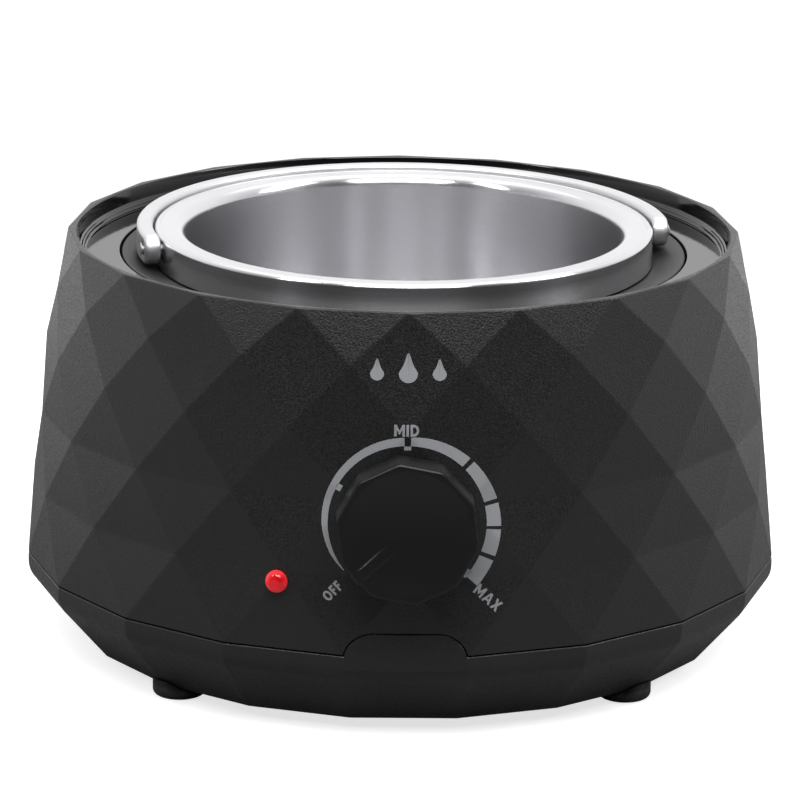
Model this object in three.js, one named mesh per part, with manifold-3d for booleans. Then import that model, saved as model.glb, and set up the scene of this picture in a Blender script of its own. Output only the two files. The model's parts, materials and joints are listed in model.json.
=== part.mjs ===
// Wax warmer pot: a faceted black housing that heats a lift-out metal pot with a swinging bail.
// Units are millimetres. +Z is up, the knob faces -Y, and +X is at the right hand of a person
// who faces the knob. Heights are measured from the table. Azimuths are in degrees, from the
// front (-Y) towards +X.

import * as THREE from 'three';
import { mergeVertices } from 'three/addons/utils/BufferGeometryUtils.js';
import Module from 'manifold-3d';

const wasm = await Module();
wasm.setup();

const GAP = 0.3;            // clearance between pieces that touch
const ROUND = 48;           // sides of a large round piece
const SMALL_ROUND = 16;     // sides of a screw, pin or bush
const OVERLAP = 1;          // how far a cutting or joining shape runs past the face it meets

// Housing
const FACETS = 20;
const STEP = 360 / FACETS;
const SEAM_RADIUS = 97.5;   // to a corner of the widest ring, where the two shells meet
const SEAM_HEIGHT = 24;
const BAND_HEIGHT = 19;     // lower edge of the base shell's upright band
const FLOOR_HEIGHT = 3.2;   // underside of the base shell
const FLOOR_RADIUS = 84;
const RIM_HEIGHT = 107;
const WALL = 2.6;
const FACET_RINGS = [       // corner radius, height, and turn of each ring of facet corners
  { radius: SEAM_RADIUS, height: SEAM_HEIGHT, turn: STEP / 2 },
  { radius: 95.5, height: 43.3, turn: 0 },
  { radius: 93.6, height: 61.6, turn: STEP / 2 },
  { radius: 92, height: 78.7, turn: 0 },
  { radius: 89.4, height: 94.3, turn: STEP / 2 },
  { radius: 86.1, height: RIM_HEIGHT, turn: 0 },
];

// Trough round the pot, inside the rim
const RIM_INNER_RADIUS = 83.9;
const STEP_HEIGHT = 103.2;
const STEP_RADIUS = 82.3;
const DECK_RADIUS = 81.9;
const DECK_HEIGHT = 101.7;
const DECK_THICKNESS = 2.5;
const MOUTH_RADIUS = 72.9;  // hole in the deck, round the seat ring
const LEDGE_RADIUS = 64.5;
const LEDGE_HEIGHT = 93.3;
const LEDGE_THICKNESS = 1.6;

// Base tongue that rises into the front of the upper shell
const TONGUE_HEIGHT = 29.6;
const TONGUE_HALF_WIDTH = 15.25;
const TONGUE_FLAT_HALF_WIDTH = 8;
const TONGUE_FRONT = 100;
const TONGUE_BACK = 92.4;

// Posts, feet and their screws
const FOOT_AZIMUTHS = { front_right: 45, back_right: 135, back_left: 225, front_left: 315 };
const FOOT_CIRCLE = 79;
const FOOT_RADIUS = 6.8;
const POST_FOOT_HEIGHT = 12;

// Pot and bail
const POT_TURN = 10.4;      // the pot stands turned in its seat
const FLANGE_TOP = 107.95;
const FLANGE_RADIUS = 64;
const POT_MOUTH_RADIUS = 56.25;
const POT_BOTTOM = 46.2;
const POT_WALL = 1.4;
const SKIRT_BOTTOM = 99.5;
const SKIRT_WALL = 1.2;
const SEAT_HEIGHT = SKIRT_BOTTOM - GAP;  // top of the seat ring under the skirt
const BAIL_INNER_RADIUS = 65;
const BAIL_OUTER_RADIUS = 68.6;
const BAIL_HALF_HEIGHT = 3.9;
const BAIL_PIVOT_HEIGHT = 105.2;
const BAIL_PIVOT_FORWARD = 5;            // hinge line, in front of the pot's axis
const RIVET_RADIUS = 1.1;

// Heater
const WELL_RADIUS = 60.6;
const WELL_WALL = 1.6;
const WELL_BOTTOM = 42.4;
const WELL_FLANGE_TOP = 95.1;
const BAND_BOTTOM = 58;
const BAND_TOP = 84;
const BAND_INNER = 60.95;
const BAND_OUTER = 63.2;
const SEAT_SCREW_AZIMUTHS = [60, 180, 300];
const SEAT_SCREW_CIRCLE = 67.5;

// Knob and thermostat, along an axis that leans up with the facets
const KNOB_HEIGHT = 56.5;
const KNOB_SHELL_RADIUS = 93.4;
const KNOB_TILT = 5.7;
const KNOB_SIDES = 10;
const KNOB_TURN = 6;
const KNOB_BACK = 1.4;
const KNOB_FRONT = 13.4;
const KNOB_BACK_RADIUS = 17.5;
const KNOB_FRONT_RADIUS = 17;
const KNOB_WALL = 2.4;
const POINTER_ANGLE = -138; // at the OFF position, anticlockwise from the viewer's right
const POINTER_WIDTH = 2.2;
const SHAFT_RADIUS = 3;

// Lamp
const LAMP_AZIMUTH = -19;
const LAMP_SHELL_RADIUS = 95.6;
const LAMP_HEIGHT = 41;
const LAMP_TILT = 2.4;
const LENS_RADIUS = 2.75;
const LENS_STEM_RADIUS = 2.35;

// Mains inlet at the back
const INLET_AZIMUTH = 180;
const INLET_FACE = 96.2;
const INLET_HEIGHT = 36;
const INLET_WIDTH = 21.4;
const INLET_TALL = 12.9;
const PIN_SPACING = 8.6;
const PIN_RADIUS = 1.2;

const BLACK_PLASTIC = { color: 0x2a2a2b, roughness: 0.55, metalness: 0 };
const DARK_PLASTIC = { color: 0x3a3a3b, roughness: 0.6, metalness: 0 };
const RUBBER = { color: 0x1c1c1c, roughness: 0.9, metalness: 0 };
const SATIN_METAL = { color: 0xc9cacc, roughness: 0.3, metalness: 1 };
const BRIGHT_METAL = { color: 0xe4e5e7, roughness: 0.22, metalness: 1 };
const DULL_METAL = { color: 0x9fa1a4, roughness: 0.5, metalness: 1 };
const BRASS = { color: 0xb9964a, roughness: 0.4, metalness: 1 };
const RED_LENS = { color: 0xe01c22, roughness: 0.12, metalness: 0 };
const CERAMIC = { color: 0xe6e2d8, roughness: 0.7, metalness: 0 };
const PHENOLIC = { color: 0x3b2a20, roughness: 0.6, metalness: 0 };
const GLASS = { color: 0xd9dcd6, roughness: 0.1, metalness: 0 };

// ---------------------------------------------------------------------------------------------
// Solids

/** Signed volume of a closed triangle mesh: negative when its faces point inwards. */
function signedVolume(vertices, triangles) {
  const [a, b, c] = [new THREE.Vector3(), new THREE.Vector3(), new THREE.Vector3()];
  let sum = 0;
  for (let i = 0; i < triangles.length; i += 3) {
    a.fromArray(vertices, triangles[i] * 3);
    b.fromArray(vertices, triangles[i + 1] * 3);
    c.fromArray(vertices, triangles[i + 2] * 3);
    sum += a.dot(b.cross(c));
  }
  return sum / 6;
}

/** Make a solid of a closed three.js geometry. */
function solid(geometry) {
  const bare = geometry.clone();
  bare.deleteAttribute('normal');
  bare.deleteAttribute('uv');
  const merged = mergeVertices(bare, 1e-4);
  const vertices = merged.attributes.position.array;
  const corners = merged.index.array;
  const triangles = [];
  for (let i = 0; i < corners.length; i += 3) {
    const [a, b, c] = [corners[i], corners[i + 1], corners[i + 2]];
    if (a !== b && b !== c && c !== a) triangles.push(a, b, c);
  }
  if (signedVolume(vertices, triangles) < 0) triangles.reverse();
  return new wasm.Manifold(new wasm.Mesh({
    numProp: 3,
    vertProperties: new Float32Array(vertices),
    triVerts: new Uint32Array(triangles),
  }));
}

/** Give a solid back as a named mesh with a material of its own. */
function part(name, body, finish) {
  const mesh = body.getMesh();
  const geometry = new THREE.BufferGeometry();
  geometry.setAttribute('position', new THREE.BufferAttribute(mesh.vertProperties, 3));
  geometry.setIndex(new THREE.BufferAttribute(mesh.triVerts, 1));
  const flat = geometry.toNonIndexed();
  flat.computeVertexNormals();
  const result = new THREE.Mesh(flat, new THREE.MeshStandardMaterial({ ...finish, flatShading: true }));
  result.name = name;
  return result;
}

/** Stack of regular polygons, each { radius, height, turn }, joined by flat facets and capped. */
function facetStack(rings, sides = FACETS) {
  const positions = [];
  const index = [];
  for (const { radius, height, turn } of rings) {
    for (let k = 0; k < sides; k++) {
      const angle = THREE.MathUtils.degToRad(turn + (k * 360) / sides);
      positions.push(radius * Math.sin(angle), -radius * Math.cos(angle), height);
    }
  }
  for (let ring = 0; ring + 1 < rings.length; ring++) {
    const lean = rings[ring + 1].turn - rings[ring].turn;
    for (let k = 0; k < sides; k++) {
      const next = (k + 1) % sides;
      const [low, lowNext] = [ring * sides + k, ring * sides + next];
      const [high, highNext] = [low + sides, lowNext + sides];
      if (lean < 0) index.push(low, lowNext, highNext, low, highNext, high);
      else index.push(low, lowNext, high, lowNext, highNext, high);
    }
  }
  const top = (rings.length - 1) * sides;
  for (let k = 1; k + 1 < sides; k++) {
    index.push(0, k + 1, k);
    index.push(top, top + k, top + k + 1);
  }
  const geometry = new THREE.BufferGeometry();
  geometry.setAttribute('position', new THREE.Float32BufferAttribute(positions, 3));
  geometry.setIndex(index);
  return solid(geometry);
}

/** Solid of revolution about Z: the outline is a list of [radius, height]. */
function turned(outline, sides = ROUND) {
  const points = outline.map(([radius, height]) => new THREE.Vector2(radius, height));
  const onAxis = outline[0][0] === 0 && outline[outline.length - 1][0] === 0;
  if (!onAxis) points.push(points[0].clone());
  return solid(new THREE.LatheGeometry(points, sides).rotateX(Math.PI / 2));
}

/** Upright cylinder or cone between two heights. */
function rod(radius, bottom, top, sides = SMALL_ROUND, topRadius = radius) {
  return turned([[0, bottom], [radius, bottom], [topRadius, top], [0, top]], sides);
}

/** Upright ring between two heights. */
function ring(inner, outer, bottom, top, sides = ROUND) {
  return turned([[inner, bottom], [outer, bottom], [outer, top], [inner, top]], sides);
}

/** Block given by its lowest and highest corners. */
function block([x0, y0, z0], [x1, y1, z1]) {
  const box = new THREE.BoxGeometry(x1 - x0, y1 - y0, z1 - z0);
  return solid(box.translate((x0 + x1) / 2, (y0 + y1) / 2, (z0 + z1) / 2));
}

/** Block of a shape drawn in X and Z, between two distances in front of the housing's axis. */
function frontBlock(shape, back, front) {
  const options = { depth: front - back, bevelEnabled: false, curveSegments: 8 };
  return solid(new THREE.ExtrudeGeometry(shape, options).rotateX(Math.PI / 2).translate(0, -back, 0));
}

/** Points on an arc, as [radius, height] pairs, from one angle to another in degrees. */
function arc([cx, cy], radius, from, to, steps) {
  return Array.from({ length: steps + 1 }, (_, i) => {
    const angle = THREE.MathUtils.degToRad(from + ((to - from) * i) / steps);
    return [cx + radius * Math.cos(angle), cy + radius * Math.sin(angle)];
  });
}

/** Point at an azimuth, a distance from the axis and a height. */
function around(azimuth, radius, height) {
  const angle = THREE.MathUtils.degToRad(azimuth);
  return new THREE.Vector3(radius * Math.sin(angle), -radius * Math.cos(angle), height);
}

/** Group whose own +Z points out of the housing at an azimuth, leaning up by a tilt. */
function outward(azimuth, radius, height, tilt = 0) {
  const group = new THREE.Group();
  group.position.copy(around(azimuth, radius, height));
  group.rotation.set(
    THREE.MathUtils.degToRad(90 - tilt), 0, THREE.MathUtils.degToRad(azimuth), 'ZYX');
  group.updateMatrix();
  return group;
}

/** A group's solid, carried into the housing's own space, to cut the housing with. */
function inHousing(body, group) {
  return body.transform(group.matrix.elements);
}

/** Solid moved to an azimuth and distance, and turned with the azimuth. */
function atAzimuth(body, azimuth, radius = 0) {
  return body.translate([0, -radius, 0]).rotate([0, 0, azimuth]);
}

const knobFrame = outward(0, KNOB_SHELL_RADIUS, KNOB_HEIGHT, KNOB_TILT);
const lampFrame = outward(LAMP_AZIMUTH, LAMP_SHELL_RADIUS, LAMP_HEIGHT, LAMP_TILT);
const inletFrame = outward(INLET_AZIMUTH, INLET_FACE, INLET_HEIGHT);
const housing = new THREE.Group();

// ---------------------------------------------------------------------------------------------
// Housing shells

/** Outline of the base tongue, rising from the seam with two round shoulders. */
function tongueOutline(inset, foot) {
  const top = TONGUE_HEIGHT - inset;
  const half = TONGUE_HALF_WIDTH - inset;
  const run = half - TONGUE_FLAT_HALF_WIDTH;
  const rise = top - SEAM_HEIGHT;
  const radius = (run * run + rise * rise) / (2 * rise);
  const sweep = Math.asin(Math.min(1, run / radius));
  const shape = new THREE.Shape();
  shape.moveTo(-half, foot);
  shape.lineTo(half, foot);
  shape.lineTo(half, SEAM_HEIGHT);
  shape.absarc(TONGUE_FLAT_HALF_WIDTH, top - radius, radius, Math.PI / 2 - sweep, Math.PI / 2);
  shape.absarc(-TONGUE_FLAT_HALF_WIDTH, top - radius, radius, Math.PI / 2, Math.PI / 2 + sweep);
  shape.lineTo(-half, foot);
  return shape;
}

/** The faceted outside of the upper shell, moved inwards by an amount, down to a height. */
function facetedHull(inset, foot) {
  const rings = FACET_RINGS.map((one) => ({ ...one, radius: one.radius - inset }));
  return facetStack([{ ...rings[0], height: foot }, ...rings]);
}

function upperShell() {
  const underDeck = DECK_HEIGHT - DECK_THICKNESS;
  const ledgeBottom = LEDGE_HEIGHT - LEDGE_THICKNESS;
  const inner = FACET_RINGS.slice(0, -1).map((one) => ({ ...one, radius: one.radius - WALL }));
  inner.unshift({ ...inner[0], height: SEAM_HEIGHT - OVERLAP });
  inner.push({ radius: 84.6, height: underDeck, turn: 0 });
  const trough = turned([
    [0, DECK_HEIGHT], [DECK_RADIUS, DECK_HEIGHT], [STEP_RADIUS, STEP_HEIGHT - 0.3],
    [STEP_RADIUS + 0.8, STEP_HEIGHT], [RIM_INNER_RADIUS, RIM_HEIGHT + 0.2],
    [RIM_INNER_RADIUS, RIM_HEIGHT + OVERLAP], [0, RIM_HEIGHT + OVERLAP],
  ]);
  let shell = facetStack(FACET_RINGS).subtract(facetStack(inner)).subtract(trough);
  shell = shell.add(ring(MOUTH_RADIUS, MOUTH_RADIUS + 2, ledgeBottom, underDeck + OVERLAP));
  shell = shell.add(ring(LEDGE_RADIUS, MOUTH_RADIUS + 1, ledgeBottom, LEDGE_HEIGHT));
  for (const azimuth of Object.values(FOOT_AZIMUTHS)) {
    const post = rod(3.8, POST_FOOT_HEIGHT, underDeck + OVERLAP, SMALL_ROUND, 4.4);
    shell = shell.add(atAzimuth(post, azimuth, FOOT_CIRCLE));
  }
  shell = shell.subtract(rod(MOUTH_RADIUS, LEDGE_HEIGHT, RIM_HEIGHT, ROUND));
  for (const azimuth of Object.values(FOOT_AZIMUTHS)) {
    const pilot = rod(1.8, POST_FOOT_HEIGHT - OVERLAP, 27);
    shell = shell.subtract(atAzimuth(pilot, azimuth, FOOT_CIRCLE));
  }
  for (const azimuth of SEAT_SCREW_AZIMUTHS) {
    const hole = rod(1.8, ledgeBottom - OVERLAP, LEDGE_HEIGHT + OVERLAP, 10);
    shell = shell.subtract(atAzimuth(hole, azimuth, SEAT_SCREW_CIRCLE));
  }
  shell = shell.subtract(frontBlock(tongueOutline(0, SEAM_HEIGHT - 2), TONGUE_BACK - 2, TONGUE_FRONT));
  shell = shell.subtract(inHousing(rod(4.8, -8, 4), knobFrame));
  shell = shell.subtract(inHousing(rod(LENS_STEM_RADIUS + GAP, -8, 4), lampFrame));
  const cutout = block(
    [-INLET_WIDTH / 2 - GAP, -INLET_TALL / 2 - GAP, -12], [INLET_WIDTH / 2 + GAP, INLET_TALL / 2 + GAP, 4]);
  shell = shell.subtract(inHousing(cutout, inletFrame));
  return part('upper_shell', shell, BLACK_PLASTIC);
}

/** Outside of the base shell, grown by an amount, for the shell itself and for fitting the feet. */
function baseHull(grow, top) {
  const slope = Math.atan2(SEAM_RADIUS - FLOOR_RADIUS, BAND_HEIGHT - FLOOR_HEIGHT);
  const out = grow / Math.cos(slope);
  return facetStack([
    { radius: FLOOR_RADIUS + out - grow * Math.tan(slope), height: FLOOR_HEIGHT - grow, turn: STEP / 2 },
    { radius: SEAM_RADIUS + out, height: BAND_HEIGHT, turn: STEP / 2 },
    { radius: SEAM_RADIUS + out, height: top, turn: STEP / 2 },
  ]);
}

function baseShell() {
  const lap = SEAM_RADIUS - WALL - 1;
  const lapInner = lap - 1.6;
  const lapTop = SEAM_HEIGHT + 3.2;
  const plate = FLOOR_HEIGHT + WALL;
  let shell = baseHull(0, SEAM_HEIGHT - GAP);
  shell = shell.add(facetStack([
    { radius: lap, height: 15, turn: STEP / 2 }, { radius: lap, height: lapTop, turn: STEP / 2 },
  ]));
  const tongue = frontBlock(tongueOutline(GAP, BAND_HEIGHT + OVERLAP), TONGUE_BACK, TONGUE_FRONT);
  shell = shell.add(tongue.intersect(facetedHull(0, BAND_HEIGHT)));
  shell = shell.subtract(facetStack([
    { radius: 82.8, height: plate, turn: STEP / 2 },
    { radius: lapInner, height: 16.9, turn: STEP / 2 },
    { radius: lapInner, height: lapTop + OVERLAP, turn: STEP / 2 },
  ]));
  for (const azimuth of Object.values(FOOT_AZIMUTHS)) {
    const standoff = rod(4.6, plate - OVERLAP, POST_FOOT_HEIGHT - GAP);
    const hole = rod(1.9, FLOOR_HEIGHT - OVERLAP, POST_FOOT_HEIGHT);
    shell = shell.add(atAzimuth(standoff, azimuth, FOOT_CIRCLE));
    shell = shell.subtract(atAzimuth(hole, azimuth, FOOT_CIRCLE));
  }
  const [slots, slotPitch, slotWidth, slotLength] = [9, 7.2, 2.6, 34];
  for (let i = 0; i < slots; i++) {
    const x = (i - (slots - 1) / 2) * slotPitch;
    const slot = block(
      [x - slotWidth / 2, -slotLength / 2, FLOOR_HEIGHT - OVERLAP],
      [x + slotWidth / 2, slotLength / 2, plate + OVERLAP]);
    shell = shell.subtract(slot);
  }
  return part('base_shell', shell, BLACK_PLASTIC);
}

/** Rubber foot, cut to sit under the base and round its corner, with a pocket for the screw. */
function foot(name, azimuth) {
  const edge = 1.4;
  const outline = [
    [0, 0], ...arc([FOOT_RADIUS - edge, edge], edge, -90, 0, 3), [FOOT_RADIUS, 8], [0, 8],
  ];
  let body = turned(outline, 24);
  body = body.subtract(rod(3.2, -OVERLAP, 1.9)).subtract(rod(1.9, 0, 9));
  body = atAzimuth(body, azimuth, FOOT_CIRCLE).subtract(baseHull(GAP, SEAM_HEIGHT));
  return part(`foot_${name}`, body, RUBBER);
}

/** Screw through a foot and the base shell, up into the upper shell's post. */
function footScrew(name, azimuth) {
  const screw = turned([[0, 0.3], [2.8, 0.3], [2.8, 1.6], [1.5, 1.6], [1.5, 24], [0, 25]], 12);
  return part(`foot_screw_${name}`, atAzimuth(screw, azimuth, FOOT_CIRCLE), DULL_METAL);
}

housing.add(upperShell(), baseShell());
for (const [name, azimuth] of Object.entries(FOOT_AZIMUTHS)) {
  housing.add(foot(name, azimuth), footScrew(name, azimuth));
}

// ---------------------------------------------------------------------------------------------
// Seat ring, heater well and heater

function seatRing() {
  const bottom = WELL_FLANGE_TOP + GAP;
  const outer = MOUTH_RADIUS - 0.5;
  let body = turned([
    [59.6, bottom], [outer, bottom], [outer, DECK_HEIGHT - 0.3], [outer - 0.4, DECK_HEIGHT],
    [FLANGE_RADIUS, SEAT_HEIGHT], [FLANGE_RADIUS - SKIRT_WALL, SEAT_HEIGHT - 0.4],
    [60.4, SEAT_HEIGHT - 0.5], [59.6, SEAT_HEIGHT - 1.3],
  ]);
  for (const azimuth of SEAT_SCREW_AZIMUTHS) {
    body = body.subtract(atAzimuth(rod(1.7, bottom - OVERLAP, 98.7, 10), azimuth, SEAT_SCREW_CIRCLE));
  }
  return part('seat_ring', body, DARK_PLASTIC);
}

function seatScrew(number, azimuth) {
  const head = LEDGE_HEIGHT - LEDGE_THICKNESS - GAP;
  const screw = turned(
    [[0, head - 1.8], [2.6, head - 1.8], [2.6, head], [1.3, head], [1.3, 98.3], [0, 98.3]], 10);
  return part(`seat_ring_screw_${number}`, atAzimuth(screw, azimuth, SEAT_SCREW_CIRCLE), DULL_METAL);
}

/** Spun cup that holds the pot and carries the heater round its wall. */
function heaterWell() {
  const flangeBottom = LEDGE_HEIGHT + GAP;
  const inner = WELL_RADIUS - WELL_WALL;
  const floor = WELL_BOTTOM + WELL_WALL;
  const corner = 5;
  let body = turned([
    [0, floor], ...arc([inner - corner, floor + corner], corner, -90, 0, 4),
    [inner, WELL_FLANGE_TOP], [MOUTH_RADIUS - 0.8, WELL_FLANGE_TOP], [MOUTH_RADIUS - 0.8, flangeBottom],
    [WELL_RADIUS, flangeBottom],
    ...arc([inner - corner, floor + corner], corner + WELL_WALL, 0, -90, 4), [0, WELL_BOTTOM],
  ]);
  for (const azimuth of SEAT_SCREW_AZIMUTHS) {
    const hole = rod(1.8, flangeBottom - OVERLAP, WELL_FLANGE_TOP + OVERLAP, 10);
    body = body.subtract(atAzimuth(hole, azimuth, SEAT_SCREW_CIRCLE));
  }
  return part('heater_well', body, DULL_METAL);
}

const CLAMP_AZIMUTH = 90;
const CLAMP_HEIGHT = (BAND_BOTTOM + BAND_TOP) / 2;
const CLAMP_RADIUS = 67.5;
const LUG_INNER = 3.2;
const LUG_OUTER = 4.6;

/** Split band heater with two clamp lugs and two terminal studs. */
function heaterBand() {
  const half = THREE.MathUtils.degToRad(3.6);
  const shape = new THREE.Shape();
  shape.absarc(0, 0, BAND_OUTER, half, 2 * Math.PI - half);
  shape.absarc(0, 0, BAND_INNER, 2 * Math.PI - half, half, true);
  const options = { depth: BAND_TOP - BAND_BOTTOM, bevelEnabled: false, curveSegments: ROUND };
  let body = solid(new THREE.ExtrudeGeometry(shape, options).translate(0, 0, BAND_BOTTOM));
  for (const side of [-1, 1]) {
    const [near, far] = side > 0 ? [LUG_INNER, LUG_OUTER] : [-LUG_OUTER, -LUG_INNER];
    body = body.add(block([61.2, near, CLAMP_HEIGHT - 8], [71, far, CLAMP_HEIGHT + 8]));
    const stud = inHousing(rod(1.6, -1, 4.2, 10), outward(CLAMP_AZIMUTH + side * 15, BAND_OUTER, 64));
    body = body.add(stud);
  }
  const hole = rod(1.9, -10, 10, 12).rotate([90, 0, 0]).translate([CLAMP_RADIUS, 0, CLAMP_HEIGHT]);
  return part('heater_band', body.subtract(hole), SATIN_METAL);
}

function clampScrew() {
  const head = -LUG_OUTER - GAP;
  const screw = turned([[0, head - 2], [2.8, head - 2], [2.8, head], [1.5, head], [1.5, 8.4], [0, 8.4]], 12);
  const body = screw.rotate([-90, 0, 0]).translate([CLAMP_RADIUS, 0, CLAMP_HEIGHT]);
  return part('band_clamp_screw', body, DULL_METAL);
}

function clampNut() {
  const near = LUG_OUTER + GAP;
  const nut = rod(3.2, near, near + 2.4, 6).subtract(rod(1.85, near - 1, near + 4, 12));
  const body = nut.rotate([-90, 0, 0]).translate([CLAMP_RADIUS, 0, CLAMP_HEIGHT]);
  return part('band_clamp_nut', body, DULL_METAL);
}

housing.add(seatRing(), heaterWell(), heaterBand(), clampScrew(), clampNut());
SEAT_SCREW_AZIMUTHS.forEach((azimuth, i) => housing.add(seatScrew(i + 1, azimuth)));

// Thermal fuse, held against the underside of the well
const FUSE_X = -16;
const FUSE_Y = 12;
const FUSE_RADIUS = 2.1;
const FUSE_LENGTH = 12;
const FUSE_HEIGHT = WELL_BOTTOM - GAP - FUSE_RADIUS;

function thermalFuse() {
  const half = FUSE_LENGTH / 2;
  const body = turned([
    [0, -half - 5], [0.6, -half - 5], [0.6, -half], [FUSE_RADIUS, -half + 0.6],
    [FUSE_RADIUS, half - 0.6], [0.6, half], [0.6, half + 5], [0, half + 5],
  ], 12);
  return part('thermal_fuse', body.rotate([0, 90, 0]).translate([FUSE_X, FUSE_Y, FUSE_HEIGHT]), CERAMIC);
}

/** Hat-shaped spring clip over the fuse, its two feet under the well. */
function fuseClip() {
  const [reach, wall, top, low] = [9, 0.8, WELL_BOTTOM - GAP, FUSE_HEIGHT - FUSE_RADIUS - GAP];
  const half = FUSE_RADIUS + GAP;
  const shape = new THREE.Shape();
  shape.moveTo(-reach, top);
  shape.lineTo(-half, top);
  shape.lineTo(-half, low);
  shape.lineTo(half, low);
  shape.lineTo(half, top);
  shape.lineTo(reach, top);
  shape.lineTo(reach, top - wall);
  shape.lineTo(half + wall, top - wall);
  shape.lineTo(half + wall, low - wall);
  shape.lineTo(-half - wall, low - wall);
  shape.lineTo(-half - wall, top - wall);
  shape.lineTo(-reach, top - wall);
  const bar = new THREE.ExtrudeGeometry(shape, { depth: 7, bevelEnabled: false });
  bar.rotateX(Math.PI / 2).rotateZ(Math.PI / 2).translate(FUSE_X - 3.5, FUSE_Y, 0);
  return part('fuse_clip', solid(bar), DULL_METAL);
}

housing.add(thermalFuse(), fuseClip());

// ---------------------------------------------------------------------------------------------
// Thermostat and knob, in the knob's own frame: x right, y up, z out of the housing

const BODY_FRONT = -5.9;
const BODY_BACK = -20;

function thermostatBody() {
  let body = facetStack([
    { radius: 14, height: BODY_BACK, turn: 22.5 }, { radius: 14, height: BODY_FRONT, turn: 22.5 },
  ], 8);
  for (const x of [-7, 7]) {
    body = body.add(block([x - 2.4, -0.5, BODY_BACK - 5], [x + 2.4, 0.5, BODY_BACK + OVERLAP]));
  }
  return part('thermostat_body', body.subtract(rod(SHAFT_RADIUS + 0.4, -12.6, BODY_FRONT + 1)), PHENOLIC);
}

function thermostatBush() {
  const body = turned([
    [3.4, -5.6], [8, -5.6], [8, -4.2], [4.4, -4.2], [4.4, 3.2], [3.4, 3.2],
  ], 24);
  return part('thermostat_bush', body, BRASS);
}

function thermostatNut() {
  const nut = rod(7.5, 1, 2.9, 6).subtract(rod(4.75, 0, 4, 24));
  return part('thermostat_nut', nut, DULL_METAL);
}

/** Shaft with a flat on the length that the knob grips. */
function thermostatShaft() {
  const shaft = rod(SHAFT_RADIUS, -12, 10.2, 20);
  return part('thermostat_shaft', shaft.subtract(block([-4, 2, 3.6], [4, 4, 11])), SATIN_METAL);
}

/** Ten-sided knob with a dished face, a raised pointer and a hollow back. */
function knob() {
  const bevel = 0.5;
  const dishRadius = 15.2;
  const hollow = KNOB_BACK_RADIUS * Math.cos(Math.PI / KNOB_SIDES) - KNOB_WALL;
  let body = facetStack([
    { radius: KNOB_BACK_RADIUS, height: KNOB_BACK, turn: KNOB_TURN },
    { radius: KNOB_FRONT_RADIUS, height: KNOB_FRONT - bevel, turn: KNOB_TURN },
    { radius: KNOB_FRONT_RADIUS - bevel, height: KNOB_FRONT, turn: KNOB_TURN },
  ], KNOB_SIDES);
  body = body.subtract(turned([
    [0, KNOB_FRONT - 1.3], [5.5, KNOB_FRONT - 1.15], [11, KNOB_FRONT - 0.65],
    [dishRadius, KNOB_FRONT], [dishRadius, KNOB_FRONT + 1], [0, KNOB_FRONT + 1],
  ], 30));
  const pointer = block(
    [4.5, -POINTER_WIDTH / 2, KNOB_FRONT - 3], [15.6, POINTER_WIDTH / 2, KNOB_FRONT - 0.15]);
  const nub = block([14.6, -POINTER_WIDTH / 2, KNOB_BACK + 0.4], [17.4, POINTER_WIDTH / 2, KNOB_FRONT - 1]);
  body = body.add(pointer.add(nub).rotate([0, 0, POINTER_ANGLE]));
  body = body.subtract(rod(hollow, KNOB_BACK - OVERLAP, 8.4, 30));
  body = body.add(rod(5.6, 3.6, 9, 20));
  const bore = rod(SHAFT_RADIUS + 0.35, 3, 10.6, 20);
  return part('knob', body.subtract(bore.subtract(block([-4, 2.35, 2], [4, 5, 11]))), BLACK_PLASTIC);
}

knobFrame.add(thermostatBody(), thermostatBush(), thermostatNut(), thermostatShaft(), knob());
housing.add(knobFrame);

// ---------------------------------------------------------------------------------------------
// Indicator lamp, in its own frame: z out of the housing

function lampLens() {
  const body = turned([
    [0, 0.9], [1.95, 0.5], [1.95, -7], [LENS_STEM_RADIUS, -7], [LENS_STEM_RADIUS, 0.15],
    [LENS_RADIUS, 0.15], [LENS_RADIUS, 0.7], ...arc([0, 0.7], LENS_RADIUS, 15, 75, 4)
      .map(([x, z]) => [x, 0.7 + (z - 0.7) * 0.62]), [0, 0.7 + LENS_RADIUS * 0.62],
  ], 24);
  return part('lamp_lens', body, RED_LENS);
}

function lampRetainer() {
  return part('lamp_retainer', ring(LENS_STEM_RADIUS + GAP, 5, -4.6, -3.6, 20), DULL_METAL);
}

function neonBulb() {
  const body = turned([[0, -14], [1.6, -14], [1.6, -1.6], [1, -0.6], [0, -0.2]], 12);
  return part('neon_bulb', body, GLASS);
}

lampFrame.add(lampLens(), lampRetainer(), neonBulb());
housing.add(lampFrame);

// ---------------------------------------------------------------------------------------------
// Figure-8 mains inlet, in its own frame: z out of the housing

function inletSocket() {
  const [halfWidth, halfTall, depth, wellDepth, wellRadius] = [INLET_WIDTH / 2, INLET_TALL / 2, 17, 12, 4.1];
  let body = block([-halfWidth, -halfTall, -depth], [halfWidth, halfTall, 0]);
  body = body.add(block([-halfWidth - 2.4, -halfTall - 2, -8.6], [halfWidth + 2.4, halfTall + 2, -6.6]));
  for (const side of [-1, 1]) {
    const x = (side * PIN_SPACING) / 2;
    body = body.subtract(rod(wellRadius, -wellDepth, OVERLAP, 24).translate([x, 0, 0]));
    body = body.subtract(rod(PIN_RADIUS + GAP, -depth - OVERLAP, 0, 12).translate([x, 0, 0]));
  }
  body = body.subtract(
    block([-PIN_SPACING / 2, -wellRadius + 0.2, -wellDepth], [PIN_SPACING / 2, wellRadius - 0.2, OVERLAP]));
  return part('inlet_socket', body, BLACK_PLASTIC);
}

function inletPin(name, side) {
  const pin = turned([
    [0, -22], [PIN_RADIUS, -22], [PIN_RADIUS, -2.4], [0.7, -1.6], [0, -1.6],
  ], 12);
  return part(`inlet_pin_${name}`, pin.translate([(side * PIN_SPACING) / 2, 0, 0]), SATIN_METAL);
}

inletFrame.add(inletSocket(), inletPin('left', -1), inletPin('right', 1));
housing.add(inletFrame);

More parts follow.
